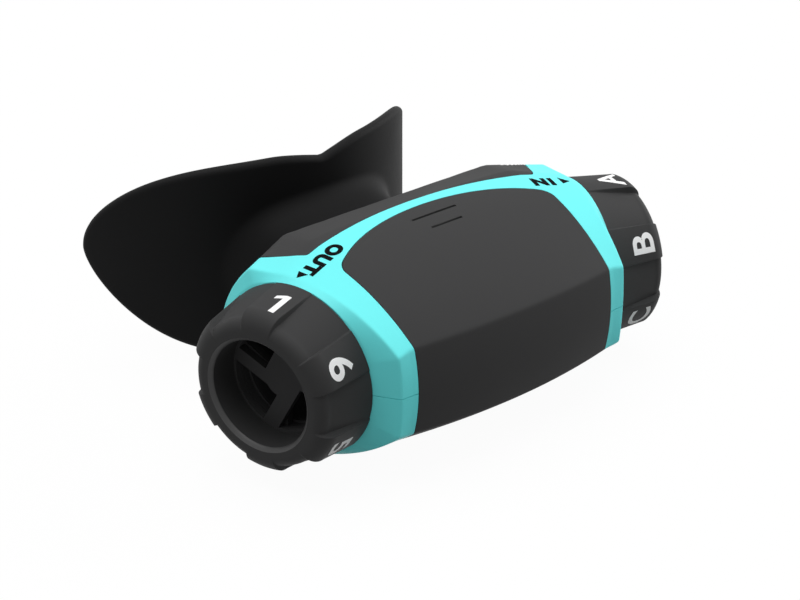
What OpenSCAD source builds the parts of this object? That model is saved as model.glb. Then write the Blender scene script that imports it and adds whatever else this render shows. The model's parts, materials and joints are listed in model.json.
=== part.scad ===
// Hand-held breathing trainer, in millimetres.
// X runs along the barrel, the electronics unit faces -Y, the mouthpiece faces +Y, Z is up.
// The origin is on the flat underside, at the middle of the bottom strip of the frame.
// Each piece is drawn about the middle plane of the body, with Y counted from the dial centres,
// and then placed on that underside.

/* [Body] */
// Half the height of the body at its middle
body_half_h = 20.6; // [19.5:0.1:23]
// How much of the rounded underside is cut flat to rest on
rest_flat = 0.35; // [0.25:0.05:0.6]
// Distance of the front crease line in front of the dial centres
front_y = 22.3; // [21.5:0.1:25]
// Height of the front crease above the middle plane
crease_z = 9.2; // [8:0.1:11]
// Bulge of the front face between its two creases
face_bulge = 1.1; // [0.5:0.1:1.8]
// Where the sloped front reaches the flat top, behind the dial centres
top_start_y = 9.1; // [7:0.1:10]
// Rear end of the flat top
top_end_y = 16.4; // [15:0.1:19]
// Fall of the flat top from its start at the middle to its straight rear edge
top_fall = 2; // [1.5:0.1:2.5]
// Rearmost point of the body at mid height
rear_y = 24; // [23:0.1:26]
// How far the front falls back at the side edges of the cover
front_sag = 2.1; // [1:0.1:3]
// How far the top drops at the side edges of the cover
crown_sag = 0.8; // [0.4:0.1:1.4]
// Thickness of the outer walls
wall = 1.8; // [1.6:0.1:2.2]

/* [Ring ends] */
// Depth of the ring's end outline behind the plane of the dial
end_depth = 1.5; // [1:0.1:2]
// Distance from the dial axis to the ring's front crease
end_front = 21.8; // [20:0.1:23]
// Height of that crease
end_crease_z = 8.2; // [7:0.1:10]
// Height of the ring's end outline
end_half_h = 18; // [17.6:0.1:19]
// Where the ring's front slope reaches that height, behind the axis
end_top_start = 3; // [1:0.1:5]
// Rear end of the ring's top, behind the axis
end_top_end = 11.5; // [9:0.1:13]
// Fall of the ring's top to its rear end
end_top_fall = 1; // [0.5:0.1:1.6]
// Rearmost point of the ring's end outline
end_rear = 19; // [18:0.1:21]

/* [Covers and frame] */
// Half width of the front cover
cover_half_w = 25.7; // [24.5:0.1:26.5]
// Front edge of the top strip at the middle
strip_front_y = 6.7; // [6:0.1:8]
// Front edge of the top strip at the cover's corner
strip_corner_y = -1.4; // [-4:0.1:0]
// Rear edge of the top strip at the middle
strip_rear_y = 9.3; // [8.5:0.05:10]
// How much wider the rear cover is to each side at its front corner
rear_corner_extra = 3.3; // [2:0.1:4]
// Rear edge of the top strip at that corner
rear_corner_y = 5.1; // [4.5:0.1:7]
// How much wider the rear cover is to each side at its back
rear_back_extra = 8.3; // [6:0.1:9]
// Where the rear cover reaches that width, behind the dial centres
rear_side_y = 13; // [11:0.1:15]
// Open seam between the covers and the frame
seam = 0.12; // [0.08:0.01:0.2]
// Width of the hidden ledge on which the covers lie
ledge_w = 1.5; // [1.2:0.1:2]
// Thickness of that ledge
ledge_t = 1.2; // [1:0.1:1.5]
// Gap between a cover and the ledge
ledge_gap = 0.1; // [0.08:0.01:0.15]
// Length of the longer grip groove
groove_len = 11; // [8:0.5:13]
// Width of the grip grooves
groove_w = 0.6; // [0.4:0.1:0.8]
// Depth of the grip grooves
groove_depth = 0.4; // [0.2:0.1:0.6]

/* [Dials] */
// Distance from the side of the front cover to each dial circle
ring_w = 10.3; // [9.5:0.1:14]
// Angle by which each dial axis turns towards the front
dial_toe = 15.6; // [12:0.1:18]
// Radius of the dial where it meets the ring
dial_r = 17.3; // [16.8:0.1:17.6]
// Distance from the ring to the dial's rim
dial_len = 11.9; // [11:0.1:14]
// How much longer the inhale dial is
inhale_extra = 1; // [0:0.1:1.5]
// Radius of the number pads near the rim
pad_r = 16.5; // [16:0.1:16.8]
// Radius of the rounding from the pads to the rim
pad_round = 3.4; // [2.5:0.1:3.8]
// Radius of the dial between the pads, near the rim
floor_r = 14.9; // [14.5:0.1:15.5]
// Radius of the rounding between the pads
floor_round = 2.2; // [1.5:0.1:2.5]
// Inner radius of the flat rim
rim_r = 11.35; // [11:0.05:11.8]
// Width and depth of the bevel inside the rim
rim_bevel = 0.75; // [0.5:0.05:1]
// Number of positions and pads
pad_count = 6; // [6:1:6]
// Angle that one pad covers
pad_angle = 27; // [22:1:32]

/* [Air way] */
// Inner radius of the air tubes
tube_r = 9.6; // [9:0.1:10]
// Wall of the air tubes
tube_wall = 1.7; // [1.4:0.1:2]
// Thickness of the shutter plates and orifice discs
plate_t = 1.6; // [1.2:0.1:2]
// Hub radius of the spoked plates
hub_r = 3.2; // [2.8:0.1:3.6]
// Radius of the pivot pin of each dial
pivot_r = 1.5; // [1.2:0.1:1.8]
// Depth of the valve seat behind the dial's plane
valve_depth = 8; // [7:0.1:9]
// Thickness of the valve flap
flap_t = 0.8; // [0.6:0.1:1]
// Thickness of the dial's O-ring
seal_d = 1.2; // [1:0.1:1.2]
// Radius of the detent balls
ball_r = 0.9; // [0.8:0.05:1]

/* [Mouthpiece] */
// Half width of the lip shield
shield_half_w = 41.6; // [38:0.1:43]
// Height of the shield's tips above the middle plane
shield_tip_z = 3.2; // [0:0.1:5]
// Height of the shield above its tips
shield_up = 19.8; // [18:0.1:22]
// Depth of the notch in the shield's top edge
notch_depth = 2.4; // [1:0.1:3]
// Half width of that notch
notch_half_w = 12.6; // [8:0.1:14]
// Radius of the shield's front surface
shield_r = 44.6; // [43.5:0.1:48]
// Front surface of the shield at the middle
shield_y = 36.2; // [35:0.1:39]
// Thickness of the shield
shield_t = 2.6; // [2:0.1:3]
// Half width of the neck
neck_half_w = 19; // [18.5:0.1:20]
// Half height of the neck
neck_half_h = 11; // [10.5:0.1:12]
// Wall of the neck
neck_wall = 2.5; // [2.2:0.1:2.8]
// Length of the rigid spigot inside the neck, behind the body
spigot_len = 9; // [7:0.5:10]
// Gap between the shield and the lip flange
lip_gap = 8.5; // [7:0.1:10]
// Half width of the lip flange
lip_half_w = 24; // [22:0.5:27]
// Half height of the lip flange
lip_half_h = 10; // [9:0.1:12]
// Length of the bite tabs
bite_len = 11; // [8:0.5:14]

/* [Electronics unit] */
// Thickness of the back plate
back_t = 1.8; // [1.4:0.1:2]
// Rear face of the back plate in front of the dial centres
back_y = 9.4; // [9.2:0.1:10]
// Gap between the circuit board and the screw bosses beside it
board_side_gap = 2.3; // [0.5:0.1:5]
// Height of the circuit board
board_h = 19; // [16:0.5:19.5]
// Thickness of the circuit board
board_t = 1; // [0.8:0.1:1.2]
// Space between the back plate and the board
board_gap = 2; // [1.8:0.1:2.4]
// Gap between the battery and the chips beside it
battery_side_gap = 0.25; // [0.2:0.05:2]
// Height of the battery
battery_h = 12; // [9:0.5:13]
// Thickness of the battery
battery_t = 4.2; // [3:0.1:4.4]
// Radius of the sensor's nipple
nipple_r = 1.2; // [1:0.1:1.4]
// Width of the charging socket
socket_w = 8; // [7:0.5:9]
// Thickness of the charging socket
socket_t = 2.8; // [2.4:0.1:3]

/* [Screws] */
// Shank radius of the screws
shank_r = 0.8; // [0.7:0.05:0.9]
// Head radius of the screws
head_r = 1.5; // [1.3:0.05:1.6]
// Head height of the screws
head_h = 1.1; // [0.9:0.1:1.3]

/* [Hidden] */

$fn = 96;

// Facets of the lofted body form and of hulled shapes
loft_fn = 32;
// Overrun of every cut
over = 0.5;
// Thickness of the slices that span the body form
slice_t = 0.02;
// Clearance of turning fits and of parts that slide past each other
run_gap = 0.1;
// Clearance of the fixed fits
fit_gap = 0.05;
// Clearance kept round soft pieces on other bodies
soft_gap = 0.3;
// A length that reaches past the whole part
reach = 2 * (cover_half_w + ring_w + shield_half_w);
// The left and the right side, as factors of X
exhale = -1;
inhale = 1;

// Distance from the middle to each dial circle
dial_x = cover_half_w + ring_w;
// Half widths of the rear cover
rear_half_w = cover_half_w + rear_corner_extra;
rear_back_half_w = cover_half_w + rear_back_extra;

// Height of the middle plane above the underside
mid_h = body_half_h - rest_flat;
// Middle of the strip, behind the dial centres
strip_mid_y = (strip_front_y + strip_rear_y) / 2;

// Shares of the cover's half width at which the body form has a section
section_shares = [-1, -0.5, 0, 0.5, 1];
// Share of the strip's fall that grows with the square of X, the rest with its fourth power
strip_square_share = 0.8;

// Dial: step between its pads at the ring, neck in the ring's opening, flange behind the ring's wall
base_step = 0.15;
neck_step = 3.1;
neck_r = dial_r - neck_step;
sleeve_wall = 1.6;
sleeve_r = neck_r - sleeve_wall;
flange_w = 1.2;
flange_t = 1.2;
flange_r = neck_r + flange_w;
flange_z = -wall - 2 * run_gap;
flange_end = flange_z - flange_t;
// Inner wall of the dial's mouth
mouth_r = rim_r - rim_bevel;

// Air tubes: the dials' axes meet at this distance behind the dial centres
apex_y = dial_x * tan(dial_toe);
tube_out_r = tube_r + tube_wall;
tube_end = wall + run_gap;
shutter_end = tube_end + plate_t;
disc_start = shutter_end + run_gap;
disc_end = disc_start + plate_t;
shutter_r = sleeve_r - 4 * run_gap;
disc_r = sleeve_r - fit_gap;
window_out_r = 0.95 * mouth_r;
// Each window of the disc between the edges of two spokes: an edge's angle from the top towards the front, and
// its distance from the hub's centre
disc_windows = [[[-67, 0.3], [27.5, -3.5]], [[-151, -0.95], [-67, -2.55]], [[97, 0], [209, -4.35]]];
// Each window of the shutter plate as its first and last angle
shutter_window_angles = [[-62, 10], [-165, -90], [100, 178]];
// Depth of the pivot pin's hole in the orifice disc
pivot_len = 0.7 * plate_t;

// Valve seat: a spoked ring with the flap on its downstream side
valve_seat_t = 1.5;
valve_r = tube_r - fit_gap;
valve_open_r = 0.76 * tube_r;
spoke_w = 1.4;
spoke_count = 3;
flap_r = 0.84 * tube_r;
flap_gap = 0.1;

// Dial seal, in a groove of the tube
seal_mid_r = tube_out_r + (sleeve_r - tube_out_r) / 2 - 0.1 * seal_d;
seal_z = -0.6;

// Detent: a ball on a spring in a boss of the tube, under dimples in the dial's flange
detent_r = (sleeve_r + flange_r) / 2;
dimple_depth = 0.35;
detent_travel = 0.3;
ball_top = flange_end - fit_gap;
ball_z = ball_top - ball_r;
boss_bore_r = ball_r + run_gap;
boss_wall = 0.7;
boss_floor = 0.8;
boss_r = boss_bore_r + boss_wall;
boss_top = flange_end - 3 * run_gap;
spring_wire_r = 0.16;
spring_coil_r = ball_r - spring_wire_r - run_gap;
spring_turns = 5;
spring_len = 3;
spring_start = ball_z - ball_r - detent_travel - fit_gap;
spring_end = spring_start - spring_len;
boss_end = spring_end - boss_floor;

// Mouthpiece way: rounded slots, given as half width and half height
bore_half_w = neck_half_w - neck_wall;
bore_half_h = neck_half_h - neck_wall;
spigot_half_w = bore_half_w - soft_gap;
spigot_half_h = bore_half_h - soft_gap;
spigot_wall = 1.5;
duct_half_w = spigot_half_w - spigot_wall;
duct_half_h = spigot_half_h - spigot_wall;
branch_margin = 0.6;
branch_end = top_end_y + branch_margin;
// Box in which the tubes meet, with its walls round the tubes
chamber_half_w = 12;
chamber_margin = 0.4;
chamber_step = 1.2;
chamber_half_h = tube_out_r + chamber_margin;
chamber_rear = branch_end - chamber_step;
chamber_front = apex_y - chamber_half_w * tan(dial_toe) - tube_out_r / cos(dial_toe) - chamber_margin;
// Length of each tube, up to where its end lies inside the box
tube_len = (dial_x - 0.6 * chamber_half_w) / cos(dial_toe);
gasket_t = 0.6;
socket_flange_t = 1.5;
socket_flange_w = 1.8;
spigot_end = rear_y + spigot_len;
flare = 2.4;
flare_len = 7;
flare_half_w = neck_half_w + flare;
flare_end = shield_y + shield_t + shield_r - sqrt(pow(shield_r, 2) - pow(flare_half_w, 2));
tip_angle = asin(shield_half_w / shield_r);
lip_t = 2.2;
lip_r = shield_r - shield_t - lip_gap;
mouth_tube_wall = 2.2;
bite_w = 8;
bite_t = 2.6;
bite_x = 0.66 * lip_half_w;
bite_end_h = 6;
bite_reach = bite_len + lip_r - sqrt(pow(lip_r, 2) - pow(bite_x, 2));

// Sensor port on the air chamber
port_r = 2 * nipple_r;
port_seal_t = 0.8;
port_end = back_y - port_seal_t - soft_gap;

// Electronics unit, by its distances in front of the dial centres
back_half_w = cover_half_w - ledge_w - 2 * run_gap;
plate_front = back_y + back_t;
board_y = plate_front + board_gap;
board_front = board_y + board_t;
post_r = 1.2;
side_wall_t = 1.5;
unit_boss_wall = 1;
unit_boss_r = shank_r + unit_boss_wall;
boss_sink = 0.4;
unit_screw_x = back_half_w - side_wall_t - unit_boss_r + boss_sink;
unit_screw_z = 0.9 * crease_z;
unit_screw_len = 7;
board_w = 2 * (unit_screw_x - unit_boss_r - board_side_gap);
chip_w = board_h / 4;
battery_w = board_w - 2 * chip_w - 2 * battery_side_gap;

// Frame screws: a pair in front beside the front cover, and a pair behind that pass through the rear cover
front_screw_from_cover = 2.3;
front_screw_from_face = 7.3;
rear_screw_from_side = 4.7;
rear_screw_from_face = 5.5;
frame_screw_places = [[cover_half_w + front_screw_from_cover, front_screw_from_face - front_y],
                      [rear_back_half_w - rear_screw_from_side, rear_y - rear_screw_from_face]];
frame_boss_wall = 0.35;
frame_boss_r = head_r + frame_boss_wall;
// Ribs of the frame that hold the air tubes
rib_t = 1.5;
rib_depth = 9.4;
frame_screw_len = 12;
frame_head_z = -7.5;

// Sensor and port bores
port_bore_r = 1;

function square(v) = v * v;
function sag(x) = square(x / cover_half_w);

// Points on an arc about a centre
function arc_points(centre, r, from, to, steps) =
    [for (i = [0:steps]) centre + r * [cos(from + (to - from) * i / steps), sin(from + (to - from) * i / steps)]];

// Upper half of a body section from the front to the rear, in a plane across the barrel
function upper_section(front, crease, bulge, slope_end, top, back, back_h, rear) =
    let (face_r = (square(crease) + square(bulge)) / (2 * bulge))
    let (face_half = asin(crease / face_r))
    let (slope_r = (square(slope_end + front) + square(top - crease)) / (2 * (top - crease)))
    let (slope_from = 90 + asin((slope_end + front) / slope_r))
    let (rear_c = (square(rear) - square(back) - square(back_h)) / (2 * (rear - back)))
    let (rear_from = atan2(back_h, back - rear_c))
    concat(arc_points([-front - bulge + face_r, 0], face_r, 180, 180 - face_half, 3),
           arc_points([slope_end, top - slope_r], slope_r, slope_from, 90, 8),
           arc_points([rear_c, 0], rear - rear_c, rear_from, 0, 6));

function mirrored(points) =
    concat(points, [for (i = [len(points) - 1:-1:0]) [points[i][0], -points[i][1]]]);

// The body section at a distance x from the middle, moved inwards by inset
function body_section(x, inset) =
    mirrored(upper_section(
        front_y - front_sag * sag(x) - inset,
        crease_z - 0.5 * crown_sag * sag(x) - 0.4 * inset,
        face_bulge,
        top_start_y,
        body_half_h - crown_sag * sag(x) - inset,
        top_end_y - 0.7 * inset,
        body_half_h - top_fall - inset,
        rear_y - 0.6 * crown_sag * sag(x) - inset));

// The ring's end outline in the plane of the dial, moved inwards by inset
function end_section(inset) =
    mirrored(upper_section(end_front - inset, end_crease_z - 0.4 * inset, 0.55 * face_bulge, end_top_start,
                           end_half_h - inset, end_top_end - 0.7 * inset, end_half_h - end_top_fall - inset,
                           end_rear - inset));

// Moves a piece from the middle plane and the dial centres to its place over the underside
module placed() {
    translate([0, -strip_mid_y, mid_h])
        children();
}

// Puts a piece on a dial's axis: +Z outwards, 0 degrees upwards, the origin in the dial's plane
module on_axis(side) {
    translate([side * dial_x, 0, 0])
        rotate([0, 0, -side * dial_toe])
            rotate([0, side * 90, 0])
                rotate([0, 0, side > 0 ? 180 : 0])
                    children();
}

// Turns angles so that they run from the top towards the front on either side
module frontwards(side) {
    if (side > 0)
        children();
    else
        mirror([0, 1, 0])
            children();
}

// A slice with its outline in Y and Z
module yz_slice(points) {
    translate([-slice_t, 0, 0])
        rotate([90, 0, 90])
            linear_extrude(slice_t)
                polygon(points);
}

// The outer form of the body, moved inwards by inset
module body_form(inset) {
    hull() {
        for (share = section_shares)
            translate([share * cover_half_w, 0, 0])
                yz_slice(body_section(share * cover_half_w, inset));
        for (side = [0, 1])
            mirror([side, 0, 0])
                translate([dial_x, 0, 0])
                    rotate([0, 0, -dial_toe]) {
                        translate([-end_depth - inset, 0, 0])
                            yz_slice(end_section(inset));
                        translate([-inset - slice_t, 0, 0])
                            rotate([0, 90, 0])
                                cylinder(r = dial_r - inset, h = slice_t, $fn = loft_fn);
                    }
    }
}

// The part of the body between two insets
module body_layer(from, to) {
    difference() {
        body_form(from);
        body_form(to);
    }
}

// A block of full height with an outline in X and Y
module full_prism(points) {
    translate([0, 0, -reach])
        linear_extrude(2 * reach)
            polygon(points);
}

// Front edge of the strip
function strip_front(x) =
    strip_front_y - (strip_front_y - strip_corner_y)
        * (strip_square_share * sag(x) + (1 - strip_square_share) * square(sag(x)));

// Rear edge of the strip
function strip_rear(x) = strip_rear_y - (strip_rear_y - rear_corner_y) * square(x / rear_half_w);

// Plan of the front cover, made smaller by inset
module front_zone(inset) {
    half_w = cover_half_w - inset;
    full_prism(concat([[-half_w, -reach]],
                      [for (i = [-10:10]) [half_w * i / 10, strip_front(half_w * i / 10) - inset]],
                      [[half_w, -reach]]));
}

// Plan of the rear cover, made smaller by inset
module rear_zone(inset) {
    half_w = rear_half_w - inset;
    back_half_w = rear_back_half_w - inset;
    full_prism(concat([for (i = [-8:8]) [half_w * i / 8, strip_rear(half_w * i / 8) + inset]],
                      [[back_half_w, rear_side_y], [back_half_w, reach], [-back_half_w, reach],
                       [-back_half_w, rear_side_y]]));
}

// Everything that isn't below the covers; grow widens it under them
module frame_zone(grow) {
    difference() {
        cube(2 * reach, center = true);
        front_zone(grow);
        rear_zone(grow);
    }
}

// The upper or the lower half of space, clear of the parting line
module half_space(up) {
    translate([-reach, -reach, up > 0 ? fit_gap : -reach - fit_gap])
        cube([2 * reach, 2 * reach, reach]);
}

// All that lies above the flat underside
module above_rest() {
    translate([-reach, -reach, -mid_h])
        cube([2 * reach, 2 * reach, 2 * reach]);
}

// A rounded slot across Y from one distance to another
module slot(half_w, half_h, from, to) {
    translate([0, to, 0])
        rotate([90, 0, 0])
            linear_extrude(to - from) {
                square([2 * (half_w - half_h), 2 * half_h], center = true);
                for (side = [exhale, inhale])
                    translate([side * (half_w - half_h), 0])
                        circle(half_h);
            }
}

// A rod along Y
module y_rod(x, z, r, from, to) {
    translate([x, to, z])
        rotate([90, 0, 0])
            cylinder(r = r, h = to - from);
}

module frame_screw_places_at() {
    for (side = [exhale, inhale])
        for (place = frame_screw_places)
            translate([side * place[0], place[1], 0])
                children();
}

// One half of the aqua frame: strip, two rings, hidden ledges, ribs and screw bosses
module frame_half(up) {
    difference() {
        intersection() {
            union() {
                intersection() {
                    body_layer(0, wall + ledge_gap + fit_gap);
                    frame_zone(0);
                }
                intersection() {
                    body_layer(wall + ledge_gap, wall + ledge_gap + ledge_t);
                    difference() {
                        frame_zone(ledge_w);
                        frame_zone(-ledge_w);
                    }
                }
                intersection() {
                    inside_frame();
                    union() {
                        frame_screw_places_at()
                            translate([0, 0, -body_half_h])
                                cylinder(r = frame_boss_r, h = 2 * body_half_h);
                        tube_ribs();
                    }
                }
            }
            half_space(up);
            above_rest();
        }
        for (side = [exhale, inhale])
            on_axis(side) {
                translate([0, 0, flange_end - ledge_t])
                    cylinder(r = neck_r + run_gap, h = dial_len);
                translate([0, 0, flange_end - 2 * run_gap])
                    cylinder(r = flange_r + 2 * run_gap, h = flange_t + 3 * run_gap);
            }
        frame_screw_places_at() {
            translate([0, 0, frame_head_z - over])
                cylinder(r = shank_r + fit_gap, h = frame_screw_len + over);
            translate([0, 0, -body_half_h])
                cylinder(r = head_r + fit_gap, h = body_half_h + frame_head_z);
        }
    }
}

// The room for what stands up inside the frame: all of it where the frame is bare, less under the rear cover
module inside_frame() {
    intersection() {
        body_form(fit_gap);
        frame_zone(0);
    }
    intersection() {
        body_form(wall + ledge_gap);
        rear_zone(-fit_gap);
    }
}

// Ribs round the air tubes, inside the rings and behind them under the rear cover
module tube_ribs() {
    intersection() {
        difference() {
            cube(2 * reach, center = true);
            front_zone(0);
        }
        for (side = [exhale, inhale])
            on_axis(side)
                translate([0, 0, -rib_depth - rib_t])
                    difference() {
                        translate([-body_half_h, -body_half_h, 0])
                            cube([2 * body_half_h, 2 * body_half_h, rib_t]);
                        translate([0, 0, -over])
                            cylinder(r = tube_out_r + fit_gap, h = rib_t + 2 * over);
                    }
    }
}

module upper_frame() {
    color("#5fe0e4")
        placed()
            frame_half(1);
}

module lower_frame() {
    color("#5fe0e4")
        placed()
            frame_half(-1);
}

module rear_cover() {
    color("#454545")
        placed()
            difference() {
                intersection() {
                    body_layer(0, wall);
                    rear_zone(seam);
                    above_rest();
                }
                slot(spigot_half_w + fit_gap, spigot_half_h + fit_gap, top_end_y, reach);
                frame_screw_places_at()
                    translate([0, 0, -body_half_h])
                        cylinder(r = head_r + fit_gap, h = body_half_h);
            }
}

// Both tubes and the box in which they meet; inset leaves the air way inside them
module tubes_and_box(inset) {
    half_w = chamber_half_w - inset;
    half_h = chamber_half_h - inset;
    intersection() {
        union() {
            for (side = [exhale, inhale])
                on_axis(side)
                    translate([0, 0, -tube_len])
                        cylinder(r = tube_out_r - inset, h = tube_len + tube_end + (inset > 0 ? over : 0));
            translate([-half_w, chamber_front + inset, -half_h])
                cube([2 * half_w, reach, 2 * half_h]);
        }
        translate([-reach, -reach, -reach])
            cube([2 * reach, reach + chamber_rear - inset, 2 * reach]);
    }
}

// Both tubes, the box between them, its rear branch and the sensor port
module air_chamber() {
    color("#2f2f2f")
        placed()
            difference() {
                union() {
                    tubes_and_box(0);
                    for (side = [exhale, inhale])
                        on_axis(side)
                            rotate([0, 0, side * -90])
                                detent_boss();
                    slot(spigot_half_w, spigot_half_h, apex_y, branch_end);
                    y_rod(0, 0, port_r, -port_end, apex_y);
                }
                tubes_and_box(tube_wall);
                for (side = [exhale, inhale])
                    on_axis(side) {
                        translate([0, 0, seal_z])
                            rotate_extrude()
                                translate([seal_mid_r, 0])
                                    circle(seal_d / 2 + fit_gap);
                        rotate([0, 0, side * -90])
                            detent_bore();
                    }
                slot(duct_half_w, duct_half_h, apex_y, branch_end + over);
                y_rod(0, 0, port_bore_r, -port_end - over, apex_y);
            }
}

module detent_boss() {
    translate([detent_r, 0, boss_end])
        cylinder(r = boss_r, h = boss_top - boss_end);
    translate([tube_r + tube_wall / 2, -boss_r, boss_end])
        cube([detent_r - tube_r - tube_wall / 2, 2 * boss_r, boss_top - boss_end]);
}

module detent_bore() {
    translate([detent_r, 0, boss_end + boss_r - boss_bore_r])
        cylinder(r = boss_bore_r, h = boss_top - boss_end);
}

// Rigid oval spigot that the neck of the mouthpiece fits on
module mouthpiece_socket() {
    flange_from = branch_end + gasket_t;
    color("#2f2f2f")
        placed()
            difference() {
                union() {
                    slot(spigot_half_w, spigot_half_h, flange_from, spigot_end);
                    slot(spigot_half_w + socket_flange_w, spigot_half_h + socket_flange_w, flange_from,
                         flange_from + socket_flange_t);
                }
                slot(duct_half_w, duct_half_h, flange_from - over, spigot_end + over);
            }
}

module socket_gasket() {
    color("#1c1c1c")
        placed()
            difference() {
                slot(spigot_half_w, spigot_half_h, branch_end, branch_end + gasket_t);
                slot(duct_half_w, duct_half_h, branch_end - over, branch_end + gasket_t + over);
            }
}

// A sector of a ring, between two angles that run from the top towards the front
module ring_sector(in_r, out_r, angles, from, to) {
    rotate([0, 0, angles[0]])
        rotate_extrude(angle = angles[1] - angles[0])
            translate([in_r, from])
                square([out_r - in_r, to - from]);
}

// Half of a plate on one side of a spoke's edge
module beside_edge(edge, beyond, from, to) {
    rotate([0, 0, edge[0]])
        translate([-window_out_r, edge[1] - (beyond ? 0 : 2 * window_out_r), from])
            cube([2 * window_out_r, 2 * window_out_r, to - from]);
}

// Fixed plate at the end of a tube, with the pivot pin of the dial
module shutter_plate(side) {
    color("#2b2b2b")
        placed()
            on_axis(side) {
                difference() {
                    translate([0, 0, tube_end])
                        cylinder(r = shutter_r, h = plate_t);
                    frontwards(side)
                        for (angles = shutter_window_angles)
                            ring_sector(hub_r, window_out_r, angles, tube_end - over, shutter_end + over);
                }
                translate([0, 0, tube_end])
                    cylinder(r = pivot_r, h = disc_start - tube_end + pivot_len);
            }
}

module exhale_shutter_plate() {
    shutter_plate(exhale);
}

module inhale_shutter_plate() {
    shutter_plate(inhale);
}

// Disc with three windows that turns with the dial
module orifice_disc(side) {
    color("#303030")
        placed()
            on_axis(side)
                difference() {
                    translate([0, 0, disc_start])
                        cylinder(r = disc_r, h = plate_t);
                    frontwards(side)
                        for (edges = disc_windows)
                            intersection() {
                                difference() {
                                    translate([0, 0, disc_start - over])
                                        cylinder(r = window_out_r, h = plate_t + 2 * over);
                                    translate([0, 0, disc_start - 2 * over])
                                        cylinder(r = hub_r, h = plate_t + 4 * over);
                                }
                                beside_edge(edges[0], true, disc_start - over, disc_end + over);
                                beside_edge(edges[1], false, disc_start - over, disc_end + over);
                            }
                    translate([0, 0, disc_start - over])
                        cylinder(r = pivot_r + fit_gap, h = over + pivot_len + run_gap);
                }
}

module exhale_orifice_disc() {
    orifice_disc(exhale);
}

module inhale_orifice_disc() {
    orifice_disc(inhale);
}

// Start of the valve seat along the axis, and the side on which its flap lies
function flap_side(side) = side < 0 ? 1 : -1;

// Spoked ring in a tube
module valve_seat(side) {
    color("#d8d8d8")
        placed()
            on_axis(side)
                difference() {
                    translate([0, 0, -valve_depth - valve_seat_t / 2])
                        cylinder(r = valve_r, h = valve_seat_t);
                    difference() {
                        translate([0, 0, -valve_depth - valve_seat_t / 2 - over])
                            cylinder(r = valve_open_r, h = valve_seat_t + 2 * over);
                        translate([0, 0, -valve_depth - valve_seat_t / 2])
                            cylinder(r = hub_r / 2, h = valve_seat_t);
                        for (i = [0:spoke_count - 1])
                            rotate([0, 0, i * 360 / spoke_count])
                                translate([0, -spoke_w / 2, -valve_depth - valve_seat_t / 2])
                                    cube([valve_open_r + over, spoke_w, valve_seat_t]);
                    }
                }
}

module exhale_valve_seat() {
    valve_seat(exhale);
}

module inhale_valve_seat() {
    valve_seat(inhale);
}

// One-way flap, hinged at its top edge
module valve_flap(side) {
    color("#3a3a3a")
        placed()
            on_axis(side)
                translate([0, 0, -valve_depth + flap_side(side) * (valve_seat_t / 2 + flap_gap + flap_t / 2)
                                 - flap_t / 2])
                    cylinder(r = flap_r, h = flap_t);
}

module exhale_valve_flap() {
    valve_flap(exhale);
}

module inhale_valve_flap() {
    valve_flap(inhale);
}

// O-ring between a tube and its dial
module dial_seal(side) {
    color("#161616")
        placed()
            on_axis(side)
                translate([0, 0, seal_z])
                    rotate_extrude()
                        translate([seal_mid_r, 0])
                            circle(seal_d / 2);
}

module exhale_dial_seal() {
    dial_seal(exhale);
}

module inhale_dial_seal() {
    dial_seal(inhale);
}

module detent_ball(side) {
    color("#b8bcc0")
        placed()
            on_axis(side)
                rotate([0, 0, side * -90])
                    translate([detent_r, 0, ball_z])
                        sphere(ball_r);
}

module exhale_detent_ball() {
    detent_ball(exhale);
}

module inhale_detent_ball() {
    detent_ball(inhale);
}

// A wire along a helix, as one closed tube
function helix_ring(i, steps_per_turn, sides) =
    let (a = 360 * i / steps_per_turn)
    let (z = (spring_len - 2 * spring_wire_r) * i / (spring_turns * steps_per_turn))
    [for (j = [0:sides - 1])
        let (b = 360 * j / sides)
        [(spring_coil_r + spring_wire_r * cos(b)) * cos(a), (spring_coil_r + spring_wire_r * cos(b)) * sin(a),
         z + spring_wire_r * sin(b)]];

module detent_spring(side) {
    steps_per_turn = 10;
    sides = 6;
    last = spring_turns * steps_per_turn;
    points = [for (i = [0:last]) each helix_ring(i, steps_per_turn, sides)];
    walls = [for (i = [0:last - 1])
                for (j = [0:sides - 1])
                    for (half = [0, 1])
                        let (a = i * sides + j)
                        let (b = i * sides + (j + 1) % sides)
                        half == 0 ? [a, a + sides, b + sides] : [a, b + sides, b]];
    ends = [[for (j = [0:sides - 1]) j], [for (j = [sides - 1:-1:0]) last * sides + j]];
    color("#c4c8cc")
        placed()
            on_axis(side)
                rotate([0, 0, side * -90])
                    translate([detent_r, 0, spring_end + spring_wire_r])
                        polyhedron(points, concat(walls, ends));
}

module exhale_detent_spring() {
    detent_spring(exhale);
}

module inhale_detent_spring() {
    detent_spring(inhale);
}

// Four screws that hold the frame halves together, put in from below
module frame_screws() {
    color("#9aa0a6")
        placed()
            frame_screw_places_at() {
                translate([0, 0, frame_head_z])
                    cylinder(r = shank_r, h = frame_screw_len - 2 * over);
                translate([0, 0, frame_head_z - head_h])
                    cylinder(r = head_r, h = head_h);
            }
}

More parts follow.
